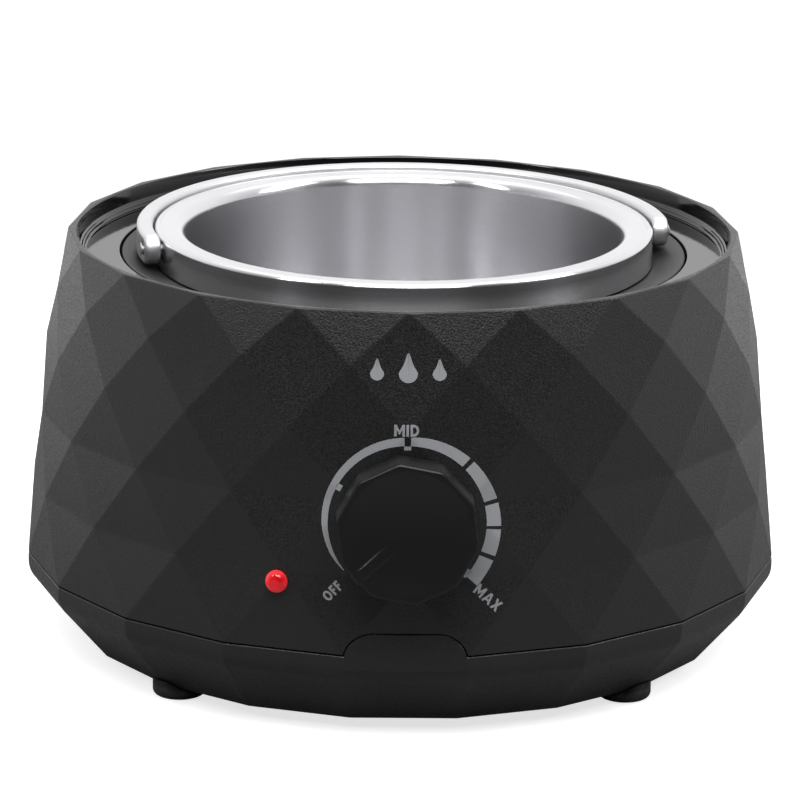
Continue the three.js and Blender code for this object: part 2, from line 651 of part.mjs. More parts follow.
// ---------------------------------------------------------------------------------------------
// Inner leads, each along a smooth curve through points given by hand

function lead(name, points, colour) {
  const shape = new THREE.Shape();
  const [radius, sides] = [1.1, 8];
  for (let k = 0; k < sides; k++) {
    const angle = (k * 2 * Math.PI) / sides;
    const [x, y] = [radius * Math.cos(angle), radius * Math.sin(angle)];
    if (k === 0) shape.moveTo(x, y);
    else shape.lineTo(x, y);
  }
  const path = new THREE.CatmullRomCurve3(points.map((point) => new THREE.Vector3(...point)));
  const options = { steps: 28, extrudePath: path, bevelEnabled: false };
  const finish = { color: colour, roughness: 0.6, metalness: 0 };
  return part(name, solid(new THREE.ExtrudeGeometry(shape, options)), finish);
}

housing.add(
  lead('lead_inlet_thermostat', [
    [4.3, 73.8, 36], [4.3, 68, 33], [5, 56, 22], [4, 20, 15], [-3, -28, 16], [-8, -56, 28],
    [-8, -64, 42], [-7, -67.6, 53.2],
  ], 0x6b3d22),
  lead('lead_thermostat_heater', [
    [7, -67.6, 53.2], [10, -66.5, 46], [24, -64, 36], [46, -52, 33], [62, -33, 38], [67.4, -21, 50],
    [67.4, -18.2, 60.8],
  ], 0x6b3d22),
  lead('lead_inlet_fuse', [
    [-4.3, 73.8, 36], [-5, 68, 33], [-10, 54, 26], [-24, 32, 28], [-33, 16, 36],
    [-27.6, 12, 40],
  ], 0x2f5f9e),
  lead('lead_fuse_heater', [
    [-4.6, 12, 40], [2, 12, 37], [22, 14, 29], [50, 20, 30], [66, 22, 42], [67.4, 18.4, 60.8],
  ], 0x2f5f9e),
);

// ---------------------------------------------------------------------------------------------
// Pot and bail, in a frame turned with the pot: the bail swings about x and rests towards +y

const potFrame = new THREE.Group();
potFrame.rotation.z = THREE.MathUtils.degToRad(POT_TURN);

/** Carry a solid drawn along Z onto the bail's hinge line. */
function onHinge(body) {
  return body.rotate([0, 90, 0]).translate([0, -BAIL_PIVOT_FORWARD, BAIL_PIVOT_HEIGHT]);
}

/** Spun pot with a rolled lip, a flat flange and a skirt that stands on the seat ring. */
function pot() {
  const [floorRadius, lip, corner, edge] = [54, 2.75, 6, 0.8];
  const floor = POT_BOTTOM + POT_WALL;
  const outerCorner = corner + POT_WALL;
  const underFlange = FLANGE_TOP - 1.2;
  const lipCentre = [POT_MOUTH_RADIUS + lip, FLANGE_TOP - lip];
  let body = turned([
    [0, floor], ...arc([floorRadius - corner, floor + corner], corner, -90, 0, 4),
    ...arc(lipCentre, lip, 180, 90, 4),
    ...arc([FLANGE_RADIUS - edge, FLANGE_TOP - edge], edge, 90, 0, 2),
    [FLANGE_RADIUS, SKIRT_BOTTOM], [FLANGE_RADIUS - SKIRT_WALL, SKIRT_BOTTOM],
    [FLANGE_RADIUS - SKIRT_WALL, underFlange], [lipCentre[0] + 0.6, underFlange],
    [POT_MOUTH_RADIUS + POT_WALL, lipCentre[1] - 0.4],
    ...arc([floorRadius - corner, floor + corner], outerCorner, 0, -90, 4), [0, POT_BOTTOM],
  ]);
  const holes = rod(RIVET_RADIUS + GAP, -70, -60, 12).add(rod(RIVET_RADIUS + GAP, 60, 70, 12));
  body = body.subtract(onHinge(holes));
  return part('pot', body, SATIN_METAL);
}

/** Flat half-round strip with rounded ends, each end bored for its rivet. */
function bail() {
  const [low, high] = [BAIL_PIVOT_HEIGHT - BAIL_HALF_HEIGHT, BAIL_PIVOT_HEIGHT + BAIL_HALF_HEIGHT];
  const edge = 0.7;
  const hoop = turned([
    [BAIL_INNER_RADIUS, low + edge], [BAIL_INNER_RADIUS + edge, low],
    [BAIL_OUTER_RADIUS - edge, low], [BAIL_OUTER_RADIUS, low + edge],
    [BAIL_OUTER_RADIUS, high - edge], [BAIL_OUTER_RADIUS - edge, high],
    [BAIL_INNER_RADIUS + edge, high], [BAIL_INNER_RADIUS, high - edge],
  ]);
  let body = hoop.intersect(block([-80, -BAIL_PIVOT_FORWARD, 90], [80, 80, 120]));
  const across = (radius) => Math.sqrt(radius * radius - BAIL_PIVOT_FORWARD * BAIL_PIVOT_FORWARD);
  for (const side of [-1, 1]) {
    const [inner, outer] = [across(BAIL_INNER_RADIUS), across(BAIL_OUTER_RADIUS)];
    const [near, far] = side > 0 ? [inner, outer] : [-outer, -inner];
    const end = turned([
      [0, near], [BAIL_HALF_HEIGHT - edge, near], [BAIL_HALF_HEIGHT, near + edge],
      [BAIL_HALF_HEIGHT, far - edge], [BAIL_HALF_HEIGHT - edge, far], [0, far],
    ], 20);
    body = body.add(onHinge(end));
  }
  return part('bail', body.subtract(onHinge(rod(RIVET_RADIUS + GAP, -70, 70, 12))), BRIGHT_METAL);
}

/** Rivet through the skirt and one end of the bail, with a domed head outside. */
function rivet(name, side) {
  const [tail, head] = [FLANGE_RADIUS - SKIRT_WALL - 2 * GAP, BAIL_OUTER_RADIUS + 0.2];
  let body = turned([
    [0, tail - 0.6], [RIVET_RADIUS + 0.15, tail - 0.6], [RIVET_RADIUS + 0.15, tail],
    [RIVET_RADIUS, tail], [RIVET_RADIUS, head], [2.3, head], [2, head + 0.5], [1.2, head + 0.85],
    [0, head + 1],
  ], 12);
  if (side < 0) body = body.rotate([0, 180, 0]);
  return part(`rivet_${name}`, onHinge(body), BRIGHT_METAL);
}

potFrame.add(pot(), bail(), rivet('left', -1), rivet('right', 1));
housing.add(potFrame);

// The origin is the middle of the whole object's footprint, so the housing's axis stands a
// little behind it, because the knob sticks out in front.
const extent = new THREE.Box3().setFromObject(housing, true);
housing.position.y = -(extent.min.y + extent.max.y) / 2;

const assembly = new THREE.Group();
assembly.add(housing);
assembly.updateMatrixWorld(true);

export default assembly;
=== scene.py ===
"""Looks of a wax warmer pot: a faceted black housing, a spun metal pot with a bail, a dial and a lamp.

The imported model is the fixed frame. Every visible piece is worked out here as a surface on a grid, in
millimetres, and placed in metres. Heights are above the table, and azimuths run from the front (-Y)
towards +X.
"""

from __future__ import annotations

import json
import logging
import math
from collections.abc import Sequence
from dataclasses import dataclass, field
from enum import Enum

import bmesh
import bpy
import numpy as np
from mathutils import Matrix, Vector


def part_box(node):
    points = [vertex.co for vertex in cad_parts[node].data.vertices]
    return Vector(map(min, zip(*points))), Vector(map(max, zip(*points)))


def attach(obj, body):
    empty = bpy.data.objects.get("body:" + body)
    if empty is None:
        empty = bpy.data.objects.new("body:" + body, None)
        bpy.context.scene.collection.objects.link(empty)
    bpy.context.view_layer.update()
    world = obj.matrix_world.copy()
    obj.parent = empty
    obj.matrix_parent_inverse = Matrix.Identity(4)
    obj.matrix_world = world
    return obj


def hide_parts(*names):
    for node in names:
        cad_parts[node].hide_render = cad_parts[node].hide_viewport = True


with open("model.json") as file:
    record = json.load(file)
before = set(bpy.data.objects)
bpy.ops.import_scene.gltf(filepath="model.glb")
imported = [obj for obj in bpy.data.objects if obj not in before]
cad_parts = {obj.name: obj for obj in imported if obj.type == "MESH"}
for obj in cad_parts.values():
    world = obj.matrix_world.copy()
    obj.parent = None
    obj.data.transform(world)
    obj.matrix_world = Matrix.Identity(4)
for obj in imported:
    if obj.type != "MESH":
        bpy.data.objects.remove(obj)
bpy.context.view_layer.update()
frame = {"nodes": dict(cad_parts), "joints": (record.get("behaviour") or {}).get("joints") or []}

log = logging.getLogger("wax_warmer")

MM = 0.001
GAP = 0.3                # clearance between pieces that touch, mm
ROUND = 192              # columns of a large round piece
SMALL_ROUND = 48         # columns of a small one
FEET = ("front_right", "back_right", "back_left", "front_left")


# ---------------------------------------------------------------------------------------------
# Places taken from the frame


def middle(node: str) -> np.ndarray:
    """Middle of a CAD node's box, in millimetres."""
    low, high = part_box(node)
    return np.array((low + high) / 2) / MM


def joint(name: str) -> dict:
    """The record's joint of that name."""
    return next(one for one in frame["joints"] if one["name"] == name)


AXIS = middle("heater_well") * (1, 1, 0)     # upright axis of the housing and the pot


# ---------------------------------------------------------------------------------------------
# Shapes: outlines and grids as whole arrays


def unit(vectors: np.ndarray) -> np.ndarray:
    """Vectors scaled to length one; a vector of no length stays as it is."""
    length = np.linalg.norm(vectors, axis=-1, keepdims=True)
    return vectors / np.maximum(length, 1e-12)


def rounded(corners: Sequence[tuple[float, ...]], closed: bool = False, steps: int = 6) -> np.ndarray:
    """Outline whose corners are arcs tangent to both their sides.

    An arc's centre lies on the line that halves the corner, at radius / sin(half angle) from it, and
    the arc is swept by turning the start spoke into the end spoke in equal angles.

    Args:
        corners: (a, b) or (a, b, radius) for each corner, in order.
        closed: whether the last corner joins the first; the ends of an open outline stay sharp.
        steps: pieces of each arc.

    Returns:
        The points of the outline, one row each.
    """
    table = np.array([(*corner, 0.0)[:3] for corner in corners], float)
    point, radius = table[:, :2], table[:, 2].copy()
    if not closed:
        radius[[0, -1]] = 0
    before, after = unit(np.roll(point, 1, 0) - point), unit(np.roll(point, -1, 0) - point)
    half = 0.5 * np.arccos(np.clip((before * after).sum(1), -1, 1))
    back = (radius / np.maximum(np.tan(half), 1e-9))[:, None]
    centre = point + unit(before + after) * (radius / np.maximum(np.sin(half), 1e-9))[:, None]
    start, end = point + before * back - centre, point + after * back - centre
    sweep = np.maximum(math.pi - 2 * half, 1e-6)[:, None, None]
    share = np.linspace(0, 1, steps + 1)[None, :, None]
    turned_spoke = start[:, None] * np.sin((1 - share) * sweep) + end[:, None] * np.sin(share * sweep)
    line = (centre[:, None] + turned_spoke / np.sin(sweep)).reshape(-1, 2)
    step = np.linalg.norm(line - np.roll(line, 1, 0), axis=1) > 1e-5
    step[0] = step[0] or not closed
    return line[step]


def polygon_spokes(sides: int, turn: float, rounding: float, steps: int = 4) -> np.ndarray:
    """Spokes of a regular polygon of corner radius one, with rounded corners, as x and y.

    Args:
        sides: number of sides.
        turn: degrees from the front to the first corner.
        rounding: radius of the corners' arcs, as a share of the polygon's own radius.
        steps: pieces of each corner's arc.

    Returns:
        One spoke per point of the rounded outline.
    """
    angle = np.radians(turn + np.arange(sides) * 360 / sides)
    corners = np.column_stack([np.sin(angle), -np.cos(angle), np.full(sides, rounding)])
    return rounded([tuple(corner) for corner in corners], closed=True, steps=steps)


def circle_spokes(count: int) -> np.ndarray:
    """Spokes of a circle of radius one, from the front, as x and y."""
    angle = np.arange(count) * 2 * math.pi / count
    return np.column_stack([np.sin(angle), -np.cos(angle)])


def carried(outline: np.ndarray, spokes: np.ndarray, roundness: np.ndarray | None = None) -> np.ndarray:
    """Grid of an outline carried round the z axis: radius times spoke, at the outline's height.

    Args:
        outline: radius and height of each row.
        spokes: x and y of each column, for a radius of one.
        roundness: how far each row's spokes are pulled from their polygon (0) to a circle (1).

    Returns:
        Points, rows by columns by three.
    """
    across = np.repeat(spokes[None], len(outline), 0)
    if roundness is not None:
        share = roundness[:, None, None]
        across = across * (1 - share) + unit(spokes)[None] * share
    height = np.repeat(outline[:, 1, None, None], len(spokes), 1)
    return np.concatenate([across * outline[:, 0, None, None], height], 2)


def mesh_piece(name: str, vertices: np.ndarray, faces: list, uv: np.ndarray | None = None,
               sharp: float = 40) -> bpy.types.Object:
    """Closed mesh of points in millimetres, welded, with its faces pointing out.

    Args:
        name: the piece's name.
        vertices: points in millimetres, one row each.
        faces: corner indices of each face.
        uv: one row for each corner of each face, in metres.
        sharp: edges that bend by more than this many degrees are drawn sharp.

    Returns:
        The new object, at the origin.
    """
    mesh = bpy.data.meshes.new(name)
    mesh.from_pydata((np.asarray(vertices, float) * MM).tolist(), [], faces)
    if uv is not None:
        mesh.uv_layers.new(name="surface").data.foreach_set("uv", uv.astype(np.float32).ravel())
    work = bmesh.new()
    work.from_mesh(mesh)
    bmesh.ops.remove_doubles(work, verts=work.verts, dist=1e-7)
    bmesh.ops.dissolve_degenerate(work, edges=work.edges, dist=1e-8)
    bmesh.ops.recalc_face_normals(work, faces=work.faces)
    work.to_mesh(mesh)
    work.free()
    mesh.shade_smooth()
    mesh.set_sharp_from_angle(angle=math.radians(sharp))
    piece = bpy.data.objects.new(name, mesh)
    bpy.context.scene.collection.objects.link(piece)
    return piece


def grid_piece(name: str, points: np.ndarray, close_rows: bool = False, close_columns: bool = True,
               sharp: float = 40) -> bpy.types.Object:
    """Piece of a grid of points, a quad between each four neighbours.

    Its UV map runs round the piece in u and along the outline in v, both in metres.

    Args:
        name: the piece's name.
        points: rows by columns by three, in millimetres.
        close_rows: whether the last row joins the first.
        close_columns: whether the last column joins the first.
        sharp: edges that bend by more than this many degrees are drawn sharp.

    Returns:
        The new object.
    """
    rows, columns = points.shape[:2]
    row, column = np.meshgrid(
        np.arange(rows - (not close_rows)), np.arange(columns - (not close_columns)), indexing="ij")
    next_row, next_column = (row + 1) % rows, (column + 1) % columns
    quads = np.stack([row * columns + column, row * columns + next_column,
                      next_row * columns + next_column, next_row * columns + column], -1)
    along = np.linalg.norm(np.diff(points, axis=0, append=points[:1]), axis=2).mean(1)
    v = np.concatenate([[0], np.cumsum(along)]) * MM
    u = np.arange(columns + 1) / columns * np.linalg.norm(
        np.diff(points, axis=1, append=points[:, :1]), axis=2).sum(1).max() * MM
    uv = np.stack([np.stack([u[column + i], v[row + j]], -1) for i, j in ((0, 0), (1, 0), (1, 1), (0, 1))], 2)
    return mesh_piece(name, points.reshape(-1, 3), quads.reshape(-1, 4).tolist(), uv.reshape(-1, 2), sharp)


def turned_piece(name: str, outline: np.ndarray, columns: int = ROUND, place: Matrix | None = None,
                 close_rows: bool = False) -> bpy.types.Object:
    """Solid of revolution: an outline of radius and height carried round an upright axis.

    Args:
        name: the piece's name.
        outline: radius and height of each row, in millimetres.
        columns: points round the axis.
        place: where the piece's own z axis stands, in millimetres; the housing's axis if left out.
        close_rows: whether the outline closes on itself instead of on the axis.

    Returns:
        The new object, smoothed by the area of its faces.
    """
    points = placed(carried(outline, circle_spokes(columns)), place)
    return soften(grid_piece(name, points, close_rows=close_rows))


def placed(points: np.ndarray, place: Matrix | None = None) -> np.ndarray:
    """Points moved from a piece's own space to the frame, both in millimetres."""
    if place is None:
        return points + AXIS
    matrix = np.array(place)
    return points @ matrix[:3, :3].T + matrix[:3, 3]


def upright_place(azimuth: float, radius: float, height: float = 0) -> Matrix:
    """Place at an azimuth in degrees and a distance from the housing's axis, in millimetres."""
    angle = math.radians(azimuth)
    spot = AXIS + (radius * math.sin(angle), -radius * math.cos(angle), height)
    return Matrix.Translation(spot) @ Matrix.Rotation(angle, 4, "Z")


def outward_place(azimuth: float, radius: float, height: float, tilt: float = 0) -> Matrix:
    """Place whose own z points out of the housing, leaning up by a tilt, with its y upwards."""
    return upright_place(azimuth, radius, height) @ Matrix.Rotation(math.radians(90 - tilt), 4, "X")


def settle(piece: bpy.types.Object) -> bpy.types.Object:
    """Put a piece's modifiers into its mesh."""
    graph = bpy.context.evaluated_depsgraph_get()
    mesh = bpy.data.meshes.new_from_object(piece.evaluated_get(graph))
    piece.modifiers.clear()
    piece.data = mesh
    return piece


class Operation(Enum):
    """What a solid does to the piece that it is combined with."""

    CUT = "DIFFERENCE"
    JOIN = "UNION"
    COMMON = "INTERSECT"


def combine(piece: bpy.types.Object, tools: Sequence[bpy.types.Object],
            operation: Operation) -> bpy.types.Object:
    """Cut a piece by other solids, or join them to it, and remove them.

    Args:
        piece: the piece that stays.
        tools: the solids that cut or join.
        operation: what the solids do to the piece.

    Returns:
        The piece, with the result in its mesh.
    """
    for tool in tools:
        modifier = piece.modifiers.new("tool", "BOOLEAN")
        modifier.object, modifier.operation, modifier.solver = tool, operation.value, "EXACT"
    settle(piece)
    for tool in tools:
        bpy.data.objects.remove(tool)
    return piece


def round_edges(piece: bpy.types.Object, width: float, bend: float, segments: int = 2) -> bpy.types.Object:
    """Round a piece's edges for good.

    Args:
        piece: the piece.
        width: width of the rounding in millimetres.
        bend: edges that bend by more than this many degrees are rounded.
        segments: faces across the rounding.

    Returns:
        The piece.
    """
    bevel = piece.modifiers.new("edges", "BEVEL")
    bevel.width, bevel.segments = width * MM, segments
    bevel.limit_method, bevel.angle_limit = "ANGLE", math.radians(bend)
    bevel.use_clamp_overlap = False
    return settle(piece)


def soften(piece: bpy.types.Object) -> bpy.types.Object:
    """Let a piece's broad faces rule the shading of the narrow ones beside them."""
    weighted = piece.modifiers.new("shading", "WEIGHTED_NORMAL")
    weighted.keep_sharp = True
    return piece


def prism(name: str, outline: np.ndarray, low: float, high: float, place: Matrix) -> bpy.types.Object:
    """Straight solid of a closed outline, between two heights of its own z axis."""
    count = len(outline)
    ends = [np.column_stack([outline, np.full(count, height)]) for height in (low, high)]
    ring = np.arange(count)
    walls = np.stack([ring, (ring + 1) % count, (ring + 1) % count + count, ring + count], 1).tolist()
    faces = [ring[::-1].tolist(), (ring + count).tolist(), *walls]
    return mesh_piece(name, placed(np.concatenate(ends), place), faces)


def finish_piece(piece: bpy.types.Object, finishes: Sequence[Finish], body: str,
                 nodes: Sequence[str] = ()) -> bpy.types.Object:
    """Dress a piece, put it on its body and hide the CAD nodes that it stands for.

    Args:
        piece: the piece.
        finishes: its finish, or one for each of its material slots.
        body: the body that it rides on.
        nodes: the CAD nodes that it replaces.

    Returns:
        The piece.
    """
    piece.data.materials.clear()
    for finish in finishes:
        piece.data.materials.append(finish.material())
    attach(piece, body)
    if nodes:
        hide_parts(*nodes)
    log.info("%s: %d faces, on %s", piece.name, len(piece.data.polygons), body)
    return piece


# ---------------------------------------------------------------------------------------------
# Finishes


def colour(code: str) -> tuple[float, float, float, float]:
    """Linear colour of an sRGB hex value."""
    share = np.array([int(code[i:i + 2], 16) for i in (1, 3, 5)]) / 255
    linear = np.where(share <= 0.04045, share / 12.92, ((share + 0.055) / 1.055) ** 2.4)
    return (*linear.tolist(), 1.0)


def add_node(tree: bpy.types.NodeTree, kind: str, settings: dict | None = None,
             links: dict | None = None) -> bpy.types.Node:
    """Add a node to a tree.

    Args:
        tree: the material's node tree.
        kind: the node's type.
        settings: values by the name or number of a socket, or by the name of a property.
        links: sources by the name or number of the socket that they go into.

    Returns:
        The node.
    """
    node = tree.nodes.new(kind)
    for key, value in (settings or {}).items():
        if isinstance(key, int) or key in node.inputs:
            node.inputs[key].default_value = value
        else:
            setattr(node, key, value)
    for key, source in (links or {}).items():
        tree.links.new(source, node.inputs[key])
    return node


@dataclass(frozen=True)
class Finish:
    """A finish whose colour, gloss and relief are worked out at each point of the surface.

    Attributes:
        name: the real material and how its surface was made.
        base: main colour.
        second: colour that the main one drifts to in soft clouds.
        roughness: middle roughness.
        drift: how far the roughness goes either way.
        grain: size of one grain of the relief, mm.
        depth: height of the relief, mm.
        metallic: 1 for a bare metal.
        ior: index of refraction.
        coat: share of a clear coat.
        cloud: size of the clouds of colour, mm.
    """

    name: str
    base: str
    second: str
    roughness: float = 0.5
    drift: float = 0.04
    grain: float = 0.5
    depth: float = 0.01
    metallic: float = 0
    ior: float = 1.5
    coat: float = 0
    cloud: float = 14

    def material(self) -> bpy.types.Material:
        """The material, made once and then shared."""
        made = bpy.data.materials.get(self.name)
        if made is None:
            made = bpy.data.materials.new(self.name)
            made.use_nodes = True
            self.draw(made.node_tree)
        return made

    def draw(self, tree: bpy.types.NodeTree) -> None:
        """Lay out the shader: clouds drive the colour and roughness, and fine noise the relief."""
        shader = tree.nodes["Principled BSDF"]
        place = add_node(tree, "ShaderNodeTexCoord").outputs["Object"]
        clouds = add_node(tree, "ShaderNodeTexNoise", {"Scale": 1 / (self.cloud * MM), "Detail": 3.0},
                          {"Vector": place})
        tint = add_node(tree, "ShaderNodeMix", {"data_type": "RGBA", 6: colour(self.base),
                                                7: colour(self.second)}, {0: clouds.outputs["Fac"]})
        tree.links.new(tint.outputs[2], shader.inputs["Base Color"])
        grain = add_node(tree, "ShaderNodeTexNoise", {"Scale": 1 / (self.grain * MM), "Detail": 2.0},
                         {"Vector": place})
        gloss = add_node(tree, "ShaderNodeMapRange", {"From Min": 0.3, "From Max": 0.7,
                                                      "To Min": self.roughness - self.drift,
                                                      "To Max": self.roughness + self.drift},
                         {"Value": grain.outputs["Fac"]})
        tree.links.new(gloss.outputs["Result"], shader.inputs["Roughness"])
        relief = add_node(tree, "ShaderNodeBump", {"Strength": 1.0, "Distance": self.depth * MM},
                          {"Height": grain.outputs["Fac"]})
        tree.links.new(relief.outputs["Normal"], shader.inputs["Normal"])
        shader.inputs["Metallic"].default_value = self.metallic
        if not self.metallic:
            shader.inputs["IOR"].default_value = self.ior
        shader.inputs["Coat Weight"].default_value = self.coat
        shader.inputs["Coat Roughness"].default_value = 0.04


@dataclass(frozen=True)
class SpunMetal(Finish):
    """Metal spun on a lathe: fine rings round the piece, which smear each reflection up and down."""

    ring: float = 0.6
    smear: float = 0.85

    def draw(self, tree: bpy.types.NodeTree) -> None:
        """Lay out the shader: noise drawn out along u makes the rings, and the tangent follows u."""
        Finish.draw(self, tree)
        shader = tree.nodes["Principled BSDF"]
        surface = add_node(tree, "ShaderNodeUVMap", {"uv_map": "surface"}).outputs["UV"]
        drawn = add_node(tree, "ShaderNodeMapping", {"Scale": (4.0, 1 / (self.ring * MM), 1.0)},
                         {"Vector": surface})
        rings = add_node(tree, "ShaderNodeTexNoise", {"Scale": 1.0, "Detail": 3.0},
                         {"Vector": drawn.outputs["Vector"]})
        relief = add_node(tree, "ShaderNodeBump", {"Strength": 1.0, "Distance": self.depth * MM},
                          {"Height": rings.outputs["Fac"]})
        tree.links.new(relief.outputs["Normal"], shader.inputs["Normal"])
        gloss = add_node(tree, "ShaderNodeMapRange", {"From Min": 0.3, "From Max": 0.7,
                                                      "To Min": self.roughness - self.drift,
                                                      "To Max": self.roughness + self.drift},
                         {"Value": rings.outputs["Fac"]})
        tree.links.new(gloss.outputs["Result"], shader.inputs["Roughness"])
        tangent = add_node(tree, "ShaderNodeTangent", {"direction_type": "UV_MAP", "uv_map": "surface"})
        tree.links.new(tangent.outputs["Tangent"], shader.inputs["Tangent"])
        shader.inputs["Anisotropic"].default_value = self.smear
        shader.inputs["Anisotropic Rotation"].default_value = 0.25


@dataclass(frozen=True)
class LensWithPaintedLight(Finish):
    """Clear tinted acrylic with painted light: a painted pale highlight where the wall is seen edge on,
    painted shade where one looks straight at it, and a painted glow.
    """

    # strength of the painted glow that the lens gives off, though it is no lamp
    glow: float = 0.4

    def draw(self, tree: bpy.types.NodeTree) -> None:
        """Lay out the shader: the facing angle goes from the painted shade colour to the painted edge
        highlight, and the lens glows in that colour as painted light.
        """
        Finish.draw(self, tree)
        shader = tree.nodes["Principled BSDF"]
        # painted light: the viewing angle picks a darker middle (painted shade) and a pale rim (painted
        # highlight)
        facing = add_node(tree, "ShaderNodeLayerWeight", {"Blend": 0.45})
        depth = add_node(tree, "ShaderNodeMix", {"data_type": "RGBA", 6: colour(self.second),
                                                 7: colour(self.base)}, {0: facing.outputs["Facing"]})
        tree.links.new(depth.outputs[2], shader.inputs["Base Color"])
        # painted glow: the lens emits its painted highlight and shade colour
        tree.links.new(depth.outputs[2], shader.inputs["Emission Color"])
        shader.inputs["Emission Strength"].default_value = self.glow


# ABS moulded in a spark-eroded tool: black, with a fine dull grain that glints at a slant. The real
# grain is 0.15 mm, and is drawn at 0.45 mm so that it shows.
GRAINED_ABS = Finish("abs_black_spark_grain", "#131314", "#19191a", 0.4, 0.14, 0.45, 0.1, ior=1.5)
# The same ABS from a polished part of the tool: flat and glossy, mirrors the room at a slant.
POLISHED_ABS = Finish("abs_black_polished", "#08080a", "#0b0b0d", 0.07, 0.02, 2.0, 0.002, ior=1.5)
# Glass-filled nylon, dull: an even dark grey with no clear reflections.
FILLED_NYLON = Finish("nylon_dark_glass_filled", "#1c1c1d", "#222223", 0.5, 0.05, 0.3, 0.01)
# ABS knob from a finely blasted tool: smoother than the housing, near black.
BLASTED_ABS = Finish("abs_black_blasted", "#0c0c0d", "#101011", 0.36, 0.04, 0.3, 0.006, ior=1.46)
# Thermoplastic rubber: matt and slightly dusty black.
RUBBER = Finish("rubber_black_moulded", "#1a1a1a", "#222222", 0.75, 0.06, 0.4, 0.02)
# Spun aluminium, satin: grey-white, with soft bands drawn up and down the wall.
SPUN_ALUMINIUM = SpunMetal("aluminium_spun_satin", "#d6d6d9", "#dcdcde", 0.22, 0.012, 0.5, 0.0002, 1)
# Spun aluminium of the well: duller and never polished.
DULL_ALUMINIUM = SpunMetal("aluminium_spun_dull", "#a8aaad", "#b4b6b8", 0.42, 0.05, 0.5, 0.004, 1)
# Tumbled aluminium strip: bright, almost white, with no direction.
TUMBLED_ALUMINIUM = Finish("aluminium_tumbled", "#cfcfd1", "#d7d7d9", 0.44, 0.04, 0.6, 0.004, 1)
# Screen ink: light grey, flat and slightly chalky.
SCREEN_INK = Finish("screen_ink_grey", "#85878a", "#8e9093", 0.7, 0.08, 0.3, 0.004)
# Acrylic lens over a neon lamp: clear red, glossy. Its pale red is a painted edge highlight, its deep red is
# painted shade in the middle, and it glows with painted light.
RED_ACRYLIC_PAINTED_LIGHT = LensWithPaintedLight("acrylic_red_polished_painted_light", "#ff4048", "#b0060e", 0.06, 0.01, 1.0, 0.0)
# Zinc-plated steel screws: pale grey with a faint bloom.
ZINC_STEEL = Finish("steel_zinc_plated", "#b9bcbf", "#a3a7aa", 0.34, 0.06, 0.6, 0.004, 1)
# Rolled steel sheet: dull grey with cloudy marks.
SHEET_STEEL = Finish("steel_rolled_sheet", "#8d8f92", "#7d7f82", 0.42, 0.08, 1.2, 0.004, 1)
# Turned brass bush: yellow and bright.
BRASS = Finish("brass_turned", "#c6a14e", "#b58f3e", 0.3, 0.06, 0.4, 0.004, 1)
# Nickel-plated pins and shaft: smooth and warm grey.
NICKEL = Finish("nickel_plated", "#c8c4bc", "#bdb9b1", 0.2, 0.03, 0.6, 0.002, 1)
# Phenolic resin of the thermostat: chocolate brown, faintly mottled.
PHENOLIC = Finish("phenolic_brown_moulded", "#3a281e", "#2b1d16", 0.5, 0.06, 0.8, 0.01)
# Nylon of the inlet: matt black with a fine grain.
BLACK_NYLON = Finish("nylon_black_moulded", "#171717", "#1e1e1e", 0.5, 0.06, 0.3, 0.012)
# Silicone sleeves of the leads: soft and matt.
BROWN_SILICONE = Finish("silicone_brown_sleeve", "#6b3d22", "#5c331b", 0.6, 0.06, 0.5, 0.01)
BLUE_SILICONE = Finish("silicone_blue_sleeve", "#2f5f9e", "#28528a", 0.6, 0.06, 0.5, 0.01)
# Fired ceramic of the fuse: off-white, slightly gritty.
CERAMIC = Finish("ceramic_fired", "#e6e2d8", "#d9d4c8", 0.65, 0.06, 0.5, 0.01)
# Glass of the neon lamp.
LAMP_GLASS = Finish("glass_neon_lamp", "#e9e4da", "#dcd5c8", 0.08, 0.02, 1.0, 0.0, coat=0.5)


# ---------------------------------------------------------------------------------------------
# Housing


